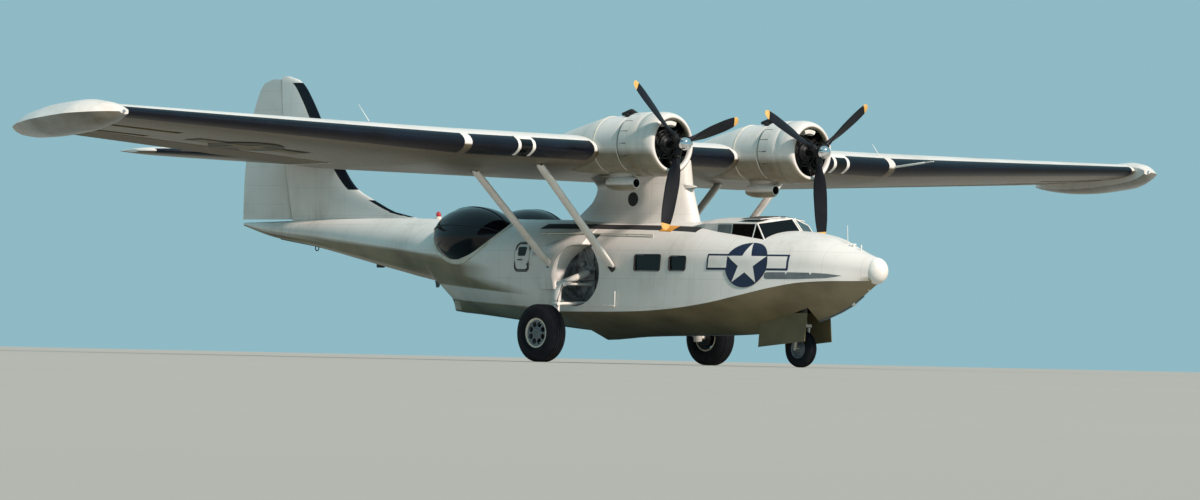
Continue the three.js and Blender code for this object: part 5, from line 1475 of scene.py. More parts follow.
class AMPHIBIAN_OT_engines(bpy.types.Operator):
    """Builds the two-row radial engines with finned cylinders, push rods and wiring"""

    bl_idname = "amphibian.engines"
    bl_label = "Engines"

    def execute(self, context):
        for name, side in SIDES:
            hub = hull_point(side * ENGINE_X, 0, ENGINE_HEIGHT)
            case = spun([(0.0, 4.131), (0.10, 4.131), (0.12, 4.15), (0.185, 4.19), (0.20, 4.21),
                         (0.205, 4.24), (0.235, 4.25), (0.235, 4.56), (0.28, 4.57), (0.42, 4.58),
                         (0.43, 4.96), (0.0, 4.96)],
                        hub, (0, 1, 0), 48)
            bolts = [tube(hub + spoke(a, 0.150, 4.158), hub + spoke(a, 0.150, 4.144), 0.009, sides=6)
                     for a in turns(20)]
            harness = spun([(0.285 + 0.014 * math.cos(a), 4.235 + 0.014 * math.sin(a)) for a in
                            turns(10, True)], hub, (0, 1, 0), 64)
            baffle = spun([(0.24, 4.562), (0.634, 4.562), (0.634, 4.572), (0.24, 4.572), (0.24, 4.562)],
                          hub, (0, 1, 0), 64)
            piece(f"crankcase_{name}", [case, *bolts], "cast_crankcase", replaces=f"engine_{name}")
            piece(f"ignition_ring_{name}", harness, "black_seal")
            piece(f"baffle_{name}", baffle, "black_cylinders")
            cylinders, rods = [], []
            for station, shift in ENGINE_ROWS:
                for i in range(CYLINDERS):
                    turn = math.tau * (i + shift) / CYLINDERS
                    base = hub + Vector((0, station, 0))
                    cylinders.append(self.cylinder(base, spoke(turn)))
                    rods += [tube(base + spoke(turn + k, 0.20, -0.06), base + spoke(turn + k, 0.545, -0.10),
                                  0.012, sides=10) for k in (-0.12, 0.12)]
            piece(f"cylinders_{name}", cylinders, "black_cylinders")
            piece(f"push_rods_{name}", rods, "cast_crankcase")
        return {"FINISHED"}

    def cylinder(self, base, out):
        """A finned barrel with a wider finned head and two rocker boxes."""
        profile = [(0.0, 0.19), (0.07, 0.19)]
        for i in range(9):
            at = 0.235 + i * 0.017
            profile += [(0.072, at), (0.092, at + 0.002), (0.092, at + 0.007), (0.072, at + 0.009)]
        for i in range(8):
            at = 0.40 + i * 0.021
            reach = 0.115 - 0.02 * abs(i - 4) / 4
            profile += [(0.085, at), (reach, at + 0.002), (reach, at + 0.008), (0.085, at + 0.010)]
        profile += [(0.07, 0.575), (0.05, 0.59), (0.0, 0.59)]
        barrel = spun(profile, base, out, 20)
        side_way = out.cross(Vector((0, 1, 0)))
        boxes = [tube(base + out * 0.545 + side_way * k * 0.055 + Vector((0, -0.11, 0)),
                      base + out * 0.57 + side_way * k * 0.055 + Vector((0, -0.02, 0)), 0.034,
                      sides=12, bevel=0.006) for k in (-1, 1)]
        return joined([barrel, *boxes])


PROPELLER_PLANE = 3.84
BLADE_REACH = 1.78
# Blade. Columns: radius, chord, thickness, blade angle in degrees
BLADE = (
    (0.09, 0.11, 0.105, 50),
    (0.33, 0.13, 0.095, 50),
    (0.56, 0.235, 0.05, 42),
    (0.90, 0.29, 0.034, 32),
    (1.30, 0.28, 0.024, 25),
    (1.62, 0.225, 0.017, 20),
    (1.75, 0.14, 0.012, 18),
    (BLADE_REACH, 0.05, 0.008, 18),
)
TIP_PAINT = 1.66


class AMPHIBIAN_OT_propellers(bpy.types.Operator):
    """Builds the three-bladed propellers with yellow tips and bright domes"""

    bl_idname = "amphibian.propellers"
    bl_label = "Propellers"

    def execute(self, context):
        for name, side in SIDES:
            hub = hull_point(side * ENGINE_X, PROPELLER_PLANE, ENGINE_HEIGHT)
            blades = []
            body = f"propeller_{name}"
            angles = [math.radians(BLADE_ANGLES[name] + 120 * i) for i in range(3)]
            for turn in angles:
                blade = self.blade()
                matrix = Matrix.Translation(hub) @ Matrix.Rotation(-turn, 4, "Y")
                bmesh.ops.transform(blade, matrix=matrix, verts=blade.verts)
                blades.append(blade)
            piece(f"blades_{name}", blades, "blade_black tip_yellow", body, replaces=body, limit=50,
                  rule=lambda p, hub=hub: 1 if (p - hub).length > TIP_PAINT else 0)
            dome = spun([(0.0, -0.28), (0.045, -0.276), (0.085, -0.263), (0.112, -0.24), (0.122, -0.21),
                         (0.124, -0.15), (0.13, -0.148), (0.13, -0.11), (0.0, -0.11)], hub, (0, 1, 0), 40)
            piece(f"dome_{name}", dome, "polished_dome", body)
            parts = [spun([(0.0, -0.11), (0.115, -0.11), (0.125, -0.08), (0.125, 0.08), (0.11, 0.10),
                           (0.078, 0.11), (0.078, 0.285), (0.0, 0.285)], hub, (0, 1, 0), 32)]
            for turn in angles:
                out = Vector((math.cos(turn), 0, math.sin(turn)))
                parts.append(tube(hub + out * 0.08, hub + out * 0.245, 0.085, 0.072, 32, 0.006))
                parts.append(tube(hub + out * 0.255, hub + out * 0.285, 0.078, sides=32, bevel=0.004))
            piece(f"hub_barrel_{name}", parts, "cast_crankcase", body)
        return {"FINISHED"}

    def blade(self):
        """A twisted blade along +X."""
        rings = []
        places = spaced(BLADE[0][0], BLADE[-2][0], 0.05) + [1.765, 1.775, BLADE_REACH]
        for radius in places:
            _, chord, thickness, angle = monotone_row(BLADE, radius)
            pitch = math.radians(angle)
            ring = []
            for i in range(20):
                turn = math.tau * i / 20
                along = math.cos(turn) * chord / 2
                deep = math.sin(turn) * thickness / 2 * (1.15 if along > 0 else 0.9)
                ring.append(Vector((radius, -(along * math.sin(pitch) + deep * math.cos(pitch)),
                                    along * math.cos(pitch) - deep * math.sin(pitch))))
            rings.append(ring)
        return loft(rings)


# Fin. Columns: height, leading-edge station, half-thickness
FIN = (
    (2.30, 13.00, 0.050),
    (2.565, 13.85, 0.060),
    (2.66, 14.40, 0.068),
    (2.87, 14.98, 0.085),
    (3.20, 15.72, 0.110),
    (3.79, 16.27, 0.130),
    (4.50, 16.80, 0.115),
    (5.21, 17.28, 0.085),
    (5.51, 17.54, 0.065),
    (5.65, 17.80, 0.050),
    (5.70, 18.04, 0.030),
)
# Heights between which the fin's root strip and its boot run
FIN_STRIP = (2.565, 2.94)
FIN_BOOT = (3.17, 5.55)
# Rudder. Columns: height, trailing-edge station, half-thickness at the hinge
RUDDER = (
    (2.53, 19.49, 0.085),
    (3.20, 19.482, 0.088),
    (3.95, 19.42, 0.086),
    (4.70, 19.27, 0.074),
    (5.34, 19.03, 0.055),
    (5.56, 18.85, 0.042),
    (5.64, 18.60, 0.030),
)
RUDDER_HINGE = ((2.49, 17.88), (5.25, 18.28))
RUDDER_NOSE = 0.109
# Tailplane. Columns: distance out, leading-edge station, trailing-edge station, thickness
TAILPLANE = (
    (0.0, 16.00, 18.80, 0.33),
    (3.60, 16.80, 18.64, 0.21),
    (4.30, 17.01, 18.52, 0.17),
    (4.60, 17.28, 18.33, 0.12),
    (4.68, 17.60, 18.10, 0.06),
)
TAIL_HEIGHT = 3.86
ELEVATOR = {"hinge": 17.78, "nose": 0.088, "gap": 0.012, "inner": 0.17, "outer": 4.12,
            "slope": math.radians(24)}


def rudder_hinge(height):
    """Station of the raked hinge line."""
    (h0, s0), (h1, s1) = RUDDER_HINGE
    return s0 + (s1 - s0) * (height - h0) / (h1 - h0)


def tail_ring(x):
    """The tailplane's section at a place along its span."""
    _, front, rear, thick = monotone_row(TAILPLANE, abs(x))
    chord = rear - front
    ring = []
    for i in range(-18, 19):
        share = (1 - math.cos(math.pi * abs(i) / 18)) / 2
        half = thickness_at(share) * thick
        ring.append(hull_point(x, front + share * chord, TAIL_HEIGHT + (half if i < 0 else -half)))
    return ring


def tail_panel(first, last):
    """The tailplane's shape between two places along its span, with finer rings at the tips."""
    return loft([tail_ring(x) for x in spaced(first, last, 0.16, (-4.67, -4.64, 4.64, 4.67))])


class AMPHIBIAN_OT_tail(bpy.types.Operator):
    """Builds the fin and the tailplane with their boots"""

    bl_idname = "amphibian.tail"
    bl_label = "Tail"

    def execute(self, context):
        rings = []
        for height in spaced(2.36, FIN[-1][0], 0.08, (*FIN_STRIP, *FIN_BOOT)):
            _, front, half = monotone_row(FIN, height)
            rear = rudder_hinge(height) - RUDDER_NOSE
            chord, boot = rear - front, self.boot_depth(height)
            outline = []
            for behind in [*(boot * (i / 7) ** 1.6 for i in range(8)),
                           *(boot + (chord - boot) * (i / 9) for i in range(1, 10))]:
                outline.append((half * math.sin(math.pi / 2 * min(1, math.sqrt(behind / chord) * 1.1)),
                                front + behind))
            outline[0] = (0.0, front)
            ring = [hull_point(x, s, height) for x, s in outline]
            rings.append(ring + [hull_point(-x, s, height) for x, s in reversed(outline[1:])])
        fin = loose_object("fin_skin", loft(rings), "tail_enamel boot_rubber")
        paint_faces(fin, self.fin_rule)
        carve(fin, hull_mesh(13.0, 19.0, 0.0005))
        dress(fin, replaces="fin")
        span = TAILPLANE[-1][0]
        plane = loose_object("tailplane_skin", tail_panel(-span, span), "wing_enamel boot_rubber")
        paint_faces(plane, self.tail_rule)
        front = ELEVATOR["hinge"] - ELEVATOR["nose"] - ELEVATOR["gap"]
        hinge, outer = ELEVATOR["hinge"], ELEVATOR["outer"] + 0.015
        carve(plane, block((0.06, front, 3.0), (outer, 20.0, 4.8)),
              block((-outer, front, 3.0), (-0.06, 20.0, 4.8)),
              block((-0.2, hinge + 0.18, 3.0), (0.2, 20.0, 4.8)))
        dress(plane, replaces="tailplane")
        pins = [rod((side * a, hinge, TAIL_HEIGHT), (side * b, hinge, TAIL_HEIGHT), 0.028)
                for side in (1, -1) for a, b in ((0.05, 0.1697), (4.1203, 4.18))]
        piece("elevator_pins", pins, "scuffed_grey")
        return {"FINISHED"}

    def boot_depth(self, height):
        """How far the fin's rubber boot reaches back at a height."""
        return min(0.28, (rudder_hinge(height) - RUDDER_NOSE - monotone_row(FIN, height)[1]) / 2)

    def fin_rule(self, point):
        """The rubber boot on the fin's leading edge, and the thin strip along its root."""
        height = point.z - KEEL_HEIGHT
        behind = point.y - STATION_ZERO - monotone_row(FIN, height)[1]
        if FIN_STRIP[0] < height < FIN_STRIP[1]:
            return 1 if behind < 0.16 else 0
        return 1 if FIN_BOOT[0] < height < FIN_BOOT[1] and behind < self.boot_depth(height) * 0.995 else 0

    def tail_rule(self, point):
        """The rubber boot runs along the tailplane's leading edge."""
        x = abs(point.x)
        front = monotone_row(TAILPLANE, x)[1]
        return 1 if point.y - STATION_ZERO - front < 0.11 and 0.5 < x < 4.5 else 0


class AMPHIBIAN_OT_tail_controls(bpy.types.Operator):
    """Builds the elevators and the rudder"""

    bl_idname = "amphibian.tail_controls"
    bl_label = "Elevators and rudder"

    def execute(self, context):
        for name, side in SIDES:
            inner, outer, hinge = ELEVATOR["inner"], ELEVATOR["outer"], ELEVATOR["hinge"]
            outline = ((inner, hinge), (outer, hinge), (outer, 20.0),
                       (inner + 2.22 * math.tan(ELEVATOR["slope"]), 20.0))
            zone = prism([hull_point(x, s, 3.0) for x, s in outline], Vector((0, 0, 2.0)))
            shape = mirrored(tail_panel(0.0, 4.6), side)
            panel = loose_object(f"elevator_skin_{name}", shape, "doped_cotton")
            carve(panel, mirrored(zone, side), operation="INTERSECT")
            dress(panel, "elevators", replaces=f"elevator_{name}")
            nose = rod((inner, hinge, TAIL_HEIGHT), (outer, hinge, TAIL_HEIGHT), ELEVATOR["nose"], 0.06, 32)
            piece(f"elevator_nose_{name}", mirrored(nose, side), "doped_cotton", "elevators")
        rings = []
        for height in spaced(RUDDER[0][0], RUDDER[-1][0], 0.08):
            _, rear, half = monotone_row(RUDDER, height)
            hinge = rudder_hinge(height)
            nose = [(half * math.cos(math.pi * i / 14), hinge - half * math.sin(math.pi * i / 14))
                    for i in range(15)]
            flanks = [(-half * wide, hinge + share * (rear - hinge))
                      for wide, share in ((0.80, 0.3), (0.42, 0.65))]
            ring = [*nose, *flanks, (-0.007, rear), (0.007, rear), *[(-x, s) for x, s in reversed(flanks)]]
            rings.append([hull_point(x, s, height) for x, s in ring])
        piece("rudder_skin", loft(rings), "rudder_cotton", "rudder", replaces="rudder", limit=50)
        return {"FINISHED"}


# Wheels and legs
MAIN_WHEEL = {"x": 2.48, "station": 7.27, "radius": 0.595, "width": 0.43, "rim": 0.30, "bore": 0.045}
NOSE_WHEEL = {"station": 2.29, "radius": 0.38, "width": 0.25, "rim": 0.19, "bore": 0.03, "steer": 2.24}
HUB_HOLES = 8


def tyre_mesh(centre, radius, width, rim, grooves):
    """A tyre's rounded section with grooves round its tread."""
    half = width / 2
    profile = [(rim, -half * 0.70), (rim + 0.015, -half * 0.78)]
    crown = radius - 0.004
    for i in range(1, 13):
        turn = math.radians(-90 + 90 * i / 12)
        profile.append((rim + 0.05 + (crown - rim - 0.05) * (1 - (-math.sin(turn)) ** 2.2) ** 0.55,
                        -half * (-math.sin(turn)) ** 0.62))
    tread = []
    for k in range(grooves):
        at = (k - (grooves - 1) / 2) * width * 0.13
        tread += [(crown, at - 0.010), (crown - 0.012, at - 0.007), (crown - 0.012, at + 0.007),
                  (crown, at + 0.010)]
    left = [p for p in profile if p[1] < -width * 0.13 * (grooves - 1) / 2 - 0.02]
    ring = [*left, *tread, *[(r, -y) for r, y in reversed(left)], left[0]]
    return spun(ring, centre, (1, 0, 0), 72)


class AMPHIBIAN_OT_main_gear(bpy.types.Operator):
    """Builds the main legs, wheels and tyres"""

    bl_idname = "amphibian.main_gear"
    bl_label = "Main gear"

    def execute(self, context):
        for name, side in SIDES:
            centre = Vector((MAIN_WHEEL["x"], STATION_ZERO + MAIN_WHEEL["station"], MAIN_WHEEL["radius"]))
            body = f"main_wheel_{name}"
            tyre = tyre_mesh(centre, MAIN_WHEEL["radius"], MAIN_WHEEL["width"], MAIN_WHEEL["rim"], 5)
            piece(f"tyre_{name}", mirrored(tyre, side), "tyre_rubber", body, replaces=f"main_tyre_{name}",
                  limit=40)
            self.hub(name, side, centre, body)
            self.leg(name, side, centre)
            self.well(name, side)
        return {"FINISHED"}

    def hub(self, name, side, centre, body):
        """A cast wheel with round holes, a rim flange and a brake drum behind it."""
        rim, bore = MAIN_WHEEL["rim"], MAIN_WHEEL["bore"]
        profile = [(bore, 0.15), (bore + 0.03, 0.155), (bore + 0.05, 0.135), (bore + 0.07, 0.13),
                   (rim - 0.045, 0.13), (rim - 0.035, 0.14), (rim - 0.02, 0.155), (rim - 0.002, 0.158),
                   (rim + 0.012, 0.157),
                   (rim + 0.012, 0.148), (rim - 0.002, 0.145), (rim - 0.002, -0.145), (rim - 0.03, -0.15),
                   (rim - 0.045, 0.10), (bore + 0.07, 0.10), (bore, 0.10), (bore, 0.15)]
        wheel = loose_object(f"wheel_{name}", mirrored(spun(profile, centre, (1, 0, 0), 64), side),
                             "hub_magnesium frame_cream")
        middle = (bore + 0.075 + rim - 0.055) / 2
        holes = []
        for turn in turns(HUB_HOLES):
            turn += math.pi / HUB_HOLES
            spot = centre + Vector((0, middle * math.cos(turn), middle * math.sin(turn)))
            hole = tube(spot - Vector((0.3, 0, 0)), spot + Vector((0.3, 0, 0)), 0.059, sides=24)
            holes.append(mirrored(hole, side))
        carve(wheel, *holes)
        paint_faces(wheel, lambda p: 1 if (p - Vector((p.x, centre.y, centre.z))).length > rim - 0.036 else 0)
        dress(wheel, body, replaces=f"main_hub_{name}")
        drum = spun([(0.06, -0.19), (0.19, -0.19), (0.20, -0.18), (0.20, -0.03), (0.19, -0.02),
                     (0.06, -0.02), (0.06, -0.19)], centre, (1, 0, 0), 48)
        cap = spun([(0.0, 0.165), (0.03, 0.163), (0.045, 0.15), (0.045, 0.125), (0.0, 0.125)], centre,
                   (1, 0, 0), 32)
        piece(f"brake_drum_{name}", mirrored(drum, side), "cast_crankcase", body)
        piece(f"axle_cap_{name}", mirrored(cap, side), "scuffed_grey", body)

    def leg(self, name, side, centre):
        """The leg, its shock strut, side stays, links and brake pipe, all in one cross plane."""
        def spot(x, height, back=0.0):
            """A place in the leg's plane, or behind it."""
            return hull_point(x, MAIN_WHEEL["station"] + back, height)
        inner = WELL["depth"] + 0.0605
        parts = [
            tube(spot(2.03, MAIN_WHEEL["radius"] - KEEL_HEIGHT), centre + Vector((0.15, 0, 0)), 0.0435,
                 sides=32),
            tube(spot(2.095, 0.02), spot(2.05, 0.86), 0.072, 0.066, 32, 0.008),
            tube(spot(2.11, 0.0), spot(2.09, 0.12), 0.088, 0.080, 32, 0.01),
            tube(spot(2.058, 0.76), spot(2.034, 1.0), 0.085, 0.075, 32, 0.01),
            tube(spot(2.036, 0.97), spot(1.93, 1.12), 0.062, 0.06, 24, 0.01),
            tube(spot(1.93, 1.12, -0.11), spot(1.93, 1.12, 0.11), 0.055, sides=24, bevel=0.008),
            tube(spot(1.93, 1.12), spot(1.18, 1.361), 0.070, sides=32, bevel=0.01),
            tube(spot(1.93, 1.12), spot(inner, 1.12), 0.030, sides=20),
            tube(spot(2.085, 0.70), spot(inner, 0.745), 0.032, sides=20),
            tube(spot(2.085, 0.70, -0.09), spot(2.085, 0.70, 0.09), 0.045, sides=20, bevel=0.006),
        ]
        # The torque links' bottom, knee and top. Columns: x, height, distance behind the leg
        links = ((2.06, 0.10, 0.07), (2.04, 0.44, 0.24), (2.05, 0.80, 0.07))
        parts += [tube(spot(x0, h0, b0 + back), spot(x1, h1, b1 + back), 0.014, sides=12)
                  for (x0, h0, b0), (x1, h1, b1) in zip(links, links[1:]) for back in (-0.03, 0.03)]
        piece(f"leg_{name}", mirrored(parts, side), "gear_enamel", replaces=f"main_leg_{name}")
        chrome = tube(spot(1.20, 1.355), spot(inner, 1.40), 0.048, sides=32)
        piece(f"shock_piston_{name}", mirrored(chrome, side), "oleo_chrome")
        route = [spot(x, height, -0.075) for x, height in
                 ((2.13, 0.10), (2.105, 0.80), (1.95, 1.17), (inner + 0.02, 1.20))]
        pipe = [tube(a, b, 0.007, sides=8) for a, b in zip(route, route[1:])]
        piece(f"brake_pipe_{name}", mirrored(pipe, side), "black_seal")

    def well(self, name, side):
        """Ribs on the well's back wall, a few boxes, and the fairing that swells behind the wheel."""
        parts = [block((WELL["depth"] + 0.004, MAIN_WHEEL["station"] - 0.08, 0.69),
                       (WELL["depth"] + 0.06, MAIN_WHEEL["station"] + 0.08, 1.50), 0.008)]
        middle = hull_point(WELL["depth"] + 0.012, WELL["station"], WELL["height"])
        for turn in turns(12)[:6]:
            reach = Vector((0, math.cos(turn), math.sin(turn))) * 0.60
            parts.append(tube(middle - reach, middle + reach, 0.016, sides=8))
        for s, h, size in ((7.0, 1.62, 0.07), (7.55, 1.55, 0.06), (7.62, 1.15, 0.05), (6.85, 1.22, 0.06)):
            parts.append(block((WELL["depth"] + 0.004, s - size, h - size * 0.8),
                               (WELL["depth"] + 0.09, s + size, h + size * 0.8), 0.01))
        piece(f"well_ribs_{name}", mirrored(parts, side), "bay_primer")
        rings = []
        for i in range(49):
            _, s0, h0, s1, h1, lift = monotone_row(FAIRING, i / 8)
            wall = hull_point(max(WELL["depth"] + 0.005, hull_side(s0, h0) - 0.13 - 0.0125 * i), s0, h0)
            ring = [wall]
            for share, out in FAIRING_SECTION:
                s, h = s0 + (s1 - s0) * share, h0 + (h1 - h0) * share
                ring.append(hull_point(hull_side(s, h) + lift * out, s, h))
            rings.append([*ring, ring[-1] - Vector((0.03, 0, 0))])
        piece(f"well_fairing_{name}", mirrored(loft(rings), side), "hull_enamel gear_enamel", limit=60,
              rule=lambda p: 1 if abs(p.x) < hull_side(p.y - STATION_ZERO, p.z - KEEL_HEIGHT) - 0.01 else 0)


class AMPHIBIAN_OT_nose_gear(bpy.types.Operator):
    """Builds the nose leg, steering fork, wheel and bay doors"""

    bl_idname = "amphibian.nose_gear"
    bl_label = "Nose gear"

    def execute(self, context):
        steer, station = NOSE_WHEEL["steer"], NOSE_WHEEL["station"]
        axle_height = NOSE_WHEEL["radius"] - KEEL_HEIGHT
        centre = Vector((0, STATION_ZERO + station, NOSE_WHEEL["radius"]))
        leg = [rod((0, steer, 0.5003), (0, steer, 0.80), 0.078, sides=32, bevel=0.006),
               rod((0, steer, 0.78), (0, steer, 1.0095), 0.068, sides=32),
               rod((0, steer, 0.62), (0, 2.905, 0.92), 0.036, sides=20),
               rod((-0.12, 2.90, 0.93), (0.12, 2.90, 0.93), 0.04, sides=20, bevel=0.006),
               block((-0.12, 2.80, 0.89), (0.12, 3.02, 1.009), 0.01)]
        piece("nose_oleo", leg, "scuffed_grey", replaces="nose_leg")
        fork_x = NOSE_WHEEL["width"] / 2 + 0.045
        fork = [rod((0, steer, 0.33), (0, steer, 0.4997), 0.072, sides=32, bevel=0.004),
                block((-fork_x - 0.03, steer - 0.06, 0.31), (fork_x + 0.03, steer + 0.06, 0.38), 0.015),
                rod((-fork_x - 0.02, station, axle_height), (fork_x + 0.02, station, axle_height), 0.029,
                    sides=24)]
        fork += [rod((side * fork_x, steer, 0.35), (side * fork_x, station, axle_height - 0.04),
                     0.032, 0.028, 20, 0.006) for side in (1, -1)]
        piece("steering_fork", fork, "cowl_enamel", "nose_fork", replaces="nose_fork")
        tyre = tyre_mesh(centre, NOSE_WHEEL["radius"], NOSE_WHEEL["width"], NOSE_WHEEL["rim"], 3)
        piece("nose_tyre_rubber", tyre, "tyre_rubber", "nose_wheel", replaces="nose_tyre", limit=40)
        rim, bore = NOSE_WHEEL["rim"], NOSE_WHEEL["bore"]
        disc = spun([(bore, -0.07), (0.07, -0.07), (0.09, -0.05), (rim - 0.05, -0.03), (rim - 0.02, -0.08),
                     (rim - 0.001, -0.09), (rim + 0.008, -0.09), (rim + 0.008, -0.08), (rim - 0.001, -0.078),
                     (rim - 0.001, 0.078), (rim + 0.008, 0.08), (rim + 0.008, 0.09), (rim - 0.001, 0.09),
                     (rim - 0.02, 0.08), (rim - 0.05, 0.03), (0.09, 0.05), (0.07, 0.07), (bore, 0.07),
                     (bore, -0.07)], centre, (1, 0, 0), 56)
        piece("nose_rim", disc, "hub_magnesium", "nose_wheel", replaces="nose_hub")
        x = NOSE_BAY["half"]
        for name, side in SIDES:
            rings = [[hull_point(x + out, s, h) for out, h in
                      ((-0.022, 0.60), (-0.001, 0.60), (0.058, low), (0.038, low))]
                     for s, low in ((NOSE_BAY["front"] + 0.02, 0.03), (NOSE_BAY["rear"] - 0.02, -0.10))]
            # The doors take the dark olive painted-shade white of the hull's underside
            door = loose_object(f"bay_door_{name}", mirrored(loft(rings), side), "faded_white")
            carve(door, self.bow_beside_bay(side))
            dress(door, replaces=f"nose_door_{name}")
        return {"FINISHED"}

    def bow_beside_bay(self, side):
        """The bow on one side of the wheel bay, which that side's door meets."""
        skin = hull_mesh(1.4, 3.6, 0.0005)
        bmesh.ops.bisect_plane(skin, geom=[*skin.verts, *skin.edges, *skin.faces], clear_inner=True,
                               plane_co=(side * (NOSE_BAY["half"] + FIT_GAP), 0, 0), plane_no=(side, 0, 0))
        bmesh.ops.holes_fill(skin, edges=[e for e in skin.edges if e.is_boundary], sides=0)
        bmesh.ops.recalc_face_normals(skin, faces=skin.faces)
        return skin


class AMPHIBIAN_OT_fittings(bpy.types.Operator):
    """Adds the aerials, pitot boom, beacon, rails, steps and rings"""

    bl_idname = "amphibian.fittings"
    bl_label = "Fittings"

    def execute(self, context):
        def above(station, x, up):
            """A place over the deck."""
            return (x, station, self.deck_height(station, x) + up)
        # Columns: start, end, radius at each end
        aerials = [(above(1.06, 0, -0.02), (0, 1.08, 2.37), 0.010, 0.005),
                   (above(0.69, 0, -0.03), (0, 0.69, 1.98), 0.013, 0.013),
                   (above(0.90, 0, -0.03), (0, 0.90, 2.00), 0.030, 0.026),
                   (above(0.92, -0.09, 0.05), above(0.92, 0.09, 0.05), 0.014, 0.014),
                   ((-8.2, 6.36, 4.17), (-8.2, 6.67, 4.50), 0.009, 0.005),
                   ((6.1, 5.85, 4.04), (6.1, 6.08, 4.31), 0.010, 0.006),
                   ((6.30, 5.64, 3.82), (6.30, 4.75, 3.91), 0.024, 0.020),
                   ((6.30, 4.77, 3.908), (6.30, 4.48, 3.935), 0.014, 0.010)]
        piece("aerials_and_pitot", bars(aerials), "gear_enamel")
        foot = hull_point(0, 13.10, monotone_row(HULL, 13.10)[8])
        base = tube(foot - Vector((0, 0, 0.02)), foot + Vector((0, 0, 0.05)), 0.07, 0.06, 24, 0.008)
        piece("beacon_base", base, "frame_cream")
        piece("beacon_lens", ball(foot + Vector((0, 0, 0.085)), (0.055, 0.055, 0.075), 24, 16), "red_lens")
        rails = []
        for side in (1, -1):
            points = [hull_point(side * 1.17, s, self.deck_height(s, 1.17) + 0.04)
                      for s in spaced(5.4, 8.7, 0.25)]
            rails += [tube(a, b, 0.016, sides=12) for a, b in zip(points, points[1:])]
            rails += [tube(p, p - Vector((0, 0, 0.055)), 0.011, sides=8) for p in points[::3]]
        piece("deck_rails", rails, "frame_cream")
        self.walkways()
        ring = spun([(0.055 + 0.012 * math.cos(a), 0.012 * math.sin(a)) for a in
                     turns(10, True)], hull_point(0, 17.0, 1.89), (1, 0, 0), 24)
        bow_cleats = [block((-0.03, s - 0.05, h - 0.04), (0.03, s + 0.03, h + 0.04), 0.012)
                      for s, h in ((0.47, 1.10), (0.86, 0.80))]
        fairlead = block((-0.05, 14.82, 1.47), (0.05, 15.0, 1.56), 0.015)
        piece("keel_fittings", [ring, fairlead], "black_seal")
        piece("bow_cleats", bow_cleats, "gear_enamel")
        vane = across(((12.98, 1.20), (13.16, 1.22), (13.12, 1.05), (13.04, 1.05)), -0.008, 0.008)
        piece("keel_vane", vane, "scuffed_grey")
        piece("side_lamps", [ball(hull_point(side * 1.475, 8.62, 1.74), (0.03, 0.035, 0.03), 16, 10)
                             for side in (1, -1)], "polished_dome")
        out = hull_side(6.25, 0.68) + 0.03
        hooks = [((out, 6.08, 0.68), (out, 6.08, 0.98), 0.012, 0.012),
                 ((out, 6.08, 0.68), (out, 6.42, 0.68), 0.020, 0.020)]
        piece("side_hooks", bars(hooks, (1, -1)), "gear_enamel")
        return {"FINISHED"}

    def deck_height(self, station, x):
        """Height of the deck at a distance from the middle."""
        row = monotone_row(HULL, station)
        side, side_height, deck = row[6], row[7], row[8]
        return side_height + (deck - side_height) * math.sqrt(max(0.0, 1 - (x / side) ** 2))

    def walkways(self):
        """Gritted strips each side of the pylon, and the orange mark across the deck ahead of the wing."""
        def strip(side, first, last, inner, outer, lift):
            """A thin strip that follows the deck."""
            rings = []
            for station in spaced(first, last, 0.2):
                top, low = [], []
                for i in range(7):
                    x = inner + (outer - inner) * i / 6
                    height = self.deck_height(station, x)
                    top.append(hull_point(side * x, station, height + lift))
                    low.append(hull_point(side * x, station, height - 0.01))
                rings.append(top + low[::-1])
            return loft(rings)
        dark = [strip(side, 4.42, 8.95, 0.70, 0.94, 0.006) for side in (1, -1)]
        piece("deck_walkways", dark, "walkway_grit")
        mark = [strip(side, 5.08, 5.42, 0.70, 0.98, 0.011) for side in (1, -1)]
        piece("deck_mark", mark, "warning_orange")


# Camera as the photograph saw the object, at floor level
CAMERA = {"azimuth": -44.578, "roll": 1.241, "height": 0.10, "sideways": 1.147, "aim": 2.388,
          "focal_pixels_per_metre": 47.369, "image_width": 1200}
SKY = {"colour": "#9ac8d4", "strength": 0.85}
KEY_LIGHT = {"colour": "#ffebdf", "energy": 4.7, "width": math.radians(5), "toward": (0.04, -0.79, 0.61)}


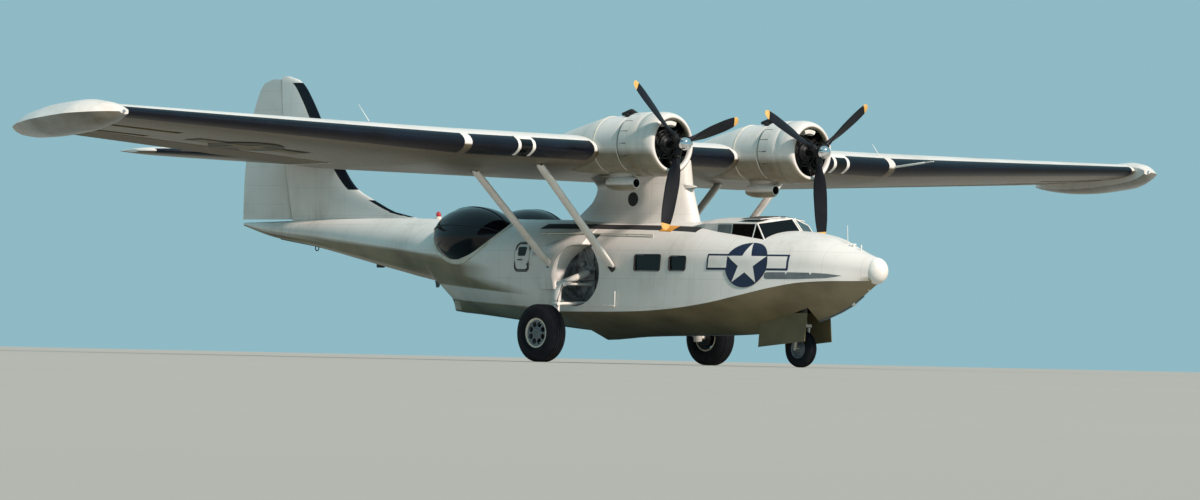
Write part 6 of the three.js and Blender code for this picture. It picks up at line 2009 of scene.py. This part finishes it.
class AMPHIBIAN_OT_stage(bpy.types.Operator):
    """Sets the floor, the lights and the camera"""

    bl_idname = "amphibian.stage"
    bl_label = "Stage"

    def execute(self, context):
        sizes = context.scene.airframe_sizes
        bm = bmesh.new()
        bmesh.ops.create_grid(bm, x_segments=2, y_segments=2, size=sizes.floor_size)
        self.floor_finish()
        loose_object("floor", bm, "floor_paint")
        world = bpy.data.worlds.new("studio")
        context.scene.world = world
        context.scene.view_settings.view_transform = "Standard"
        world.use_nodes = True
        background = world.node_tree.nodes["Background"]
        background.inputs[0].default_value = colour(SKY["colour"])
        background.inputs[1].default_value = SKY["strength"]
        key = bpy.data.lights.new("key", "SUN")
        key.energy = KEY_LIGHT["energy"]
        key.angle = KEY_LIGHT["width"]
        key.color = colour(KEY_LIGHT["colour"])[:3]
        lamp = bpy.data.objects.new("key", key)
        lamp.rotation_euler = Vector(KEY_LIGHT["toward"]).to_track_quat("Z", "Y").to_euler()
        context.scene.collection.objects.link(lamp)
        self.camera(context, sizes.camera_distance)
        return {"FINISHED"}

    def floor_finish(self):
        """Plain pale painted floor."""
        tree, surface = shader("floor_paint", Roughness=0.85)
        coordinates, _ = place(tree)
        soft = noise(tree, coordinates, 6.0, 3.0)
        patchy = blended(tree, soft, colour("#a9a69e"), colour("#a29f97"))
        tree.links.new(patchy, surface.inputs["Base Color"])

    def camera(self, context, distance):
        """A long lens at floor level, turned as the photograph was."""
        azimuth, roll = math.radians(CAMERA["azimuth"]), math.radians(CAMERA["roll"])
        back = Vector((math.sin(azimuth), -math.cos(azimuth), 0))
        right = Vector((math.cos(azimuth), math.sin(azimuth), 0))
        eye = back * distance + right * CAMERA["sideways"] + Vector((0, 0, CAMERA["height"]))
        aim = right * CAMERA["sideways"] + Vector((0, 0, CAMERA["aim"]))
        data = bpy.data.cameras.new("camera")
        data.sensor_width = 36.0
        data.lens = CAMERA["focal_pixels_per_metre"] * distance / CAMERA["image_width"] * data.sensor_width
        data.clip_end = 2000.0
        camera = bpy.data.objects.new("camera", data)
        camera.location = eye
        turn = (aim - eye).to_track_quat("-Z", "Y").to_matrix() @ Matrix.Rotation(roll, 3, "Z")
        camera.rotation_euler = turn.to_euler()
        context.scene.collection.objects.link(camera)
        context.scene.camera = camera


OPERATORS = (AMPHIBIAN_OT_hull, AMPHIBIAN_OT_markings, AMPHIBIAN_OT_cockpit, AMPHIBIAN_OT_blisters,
             AMPHIBIAN_OT_entry_hatch, AMPHIBIAN_OT_wing, AMPHIBIAN_OT_ailerons, AMPHIBIAN_OT_floats,
             AMPHIBIAN_OT_pylon_and_struts, AMPHIBIAN_OT_nacelles, AMPHIBIAN_OT_cowlings,
             AMPHIBIAN_OT_engines, AMPHIBIAN_OT_propellers, AMPHIBIAN_OT_tail, AMPHIBIAN_OT_tail_controls,
             AMPHIBIAN_OT_main_gear, AMPHIBIAN_OT_nose_gear, AMPHIBIAN_OT_fittings, AMPHIBIAN_OT_stage)


class AMPHIBIAN_PT_panel(bpy.types.Panel):
    """Lists the pieces in the sidebar of the 3D view"""

    bl_idname = "AMPHIBIAN_PT_panel"
    bl_label = "Amphibian"
    bl_space_type = "VIEW_3D"
    bl_region_type = "UI"
    bl_category = "Amphibian"

    def draw(self, context):
        """Draws the sizes, the colours and a button for each piece."""
        for group in (context.scene.airframe_sizes, context.scene.paint_colours):
            for key in group.bl_rna.properties.keys():
                if key not in ("rna_type", "name"):
                    self.layout.prop(group, key)
        for operator in OPERATORS:
            self.layout.operator(operator.bl_idname)


CLASSES = (PaintColours, AirframeSizes, *OPERATORS, AMPHIBIAN_PT_panel)


def register():
    """Registers the classes and the scene's properties."""
    for item in CLASSES:
        bpy.utils.register_class(item)
    bpy.types.Scene.airframe_sizes = bpy.props.PointerProperty(type=AirframeSizes)
    bpy.types.Scene.paint_colours = bpy.props.PointerProperty(type=PaintColours)


def unregister():
    """Removes them again."""
    del bpy.types.Scene.paint_colours
    del bpy.types.Scene.airframe_sizes
    for item in reversed(CLASSES):
        bpy.utils.unregister_class(item)


def main():
    """Builds every piece in order."""
    register()
    scene = bpy.context.scene
    make_materials(scene.airframe_sizes, scene.paint_colours)
    for operator in OPERATORS:
        group, name = operator.bl_idname.split(".")
        getattr(getattr(bpy.ops, group), name)()


if __name__ == "__main__":
    main()
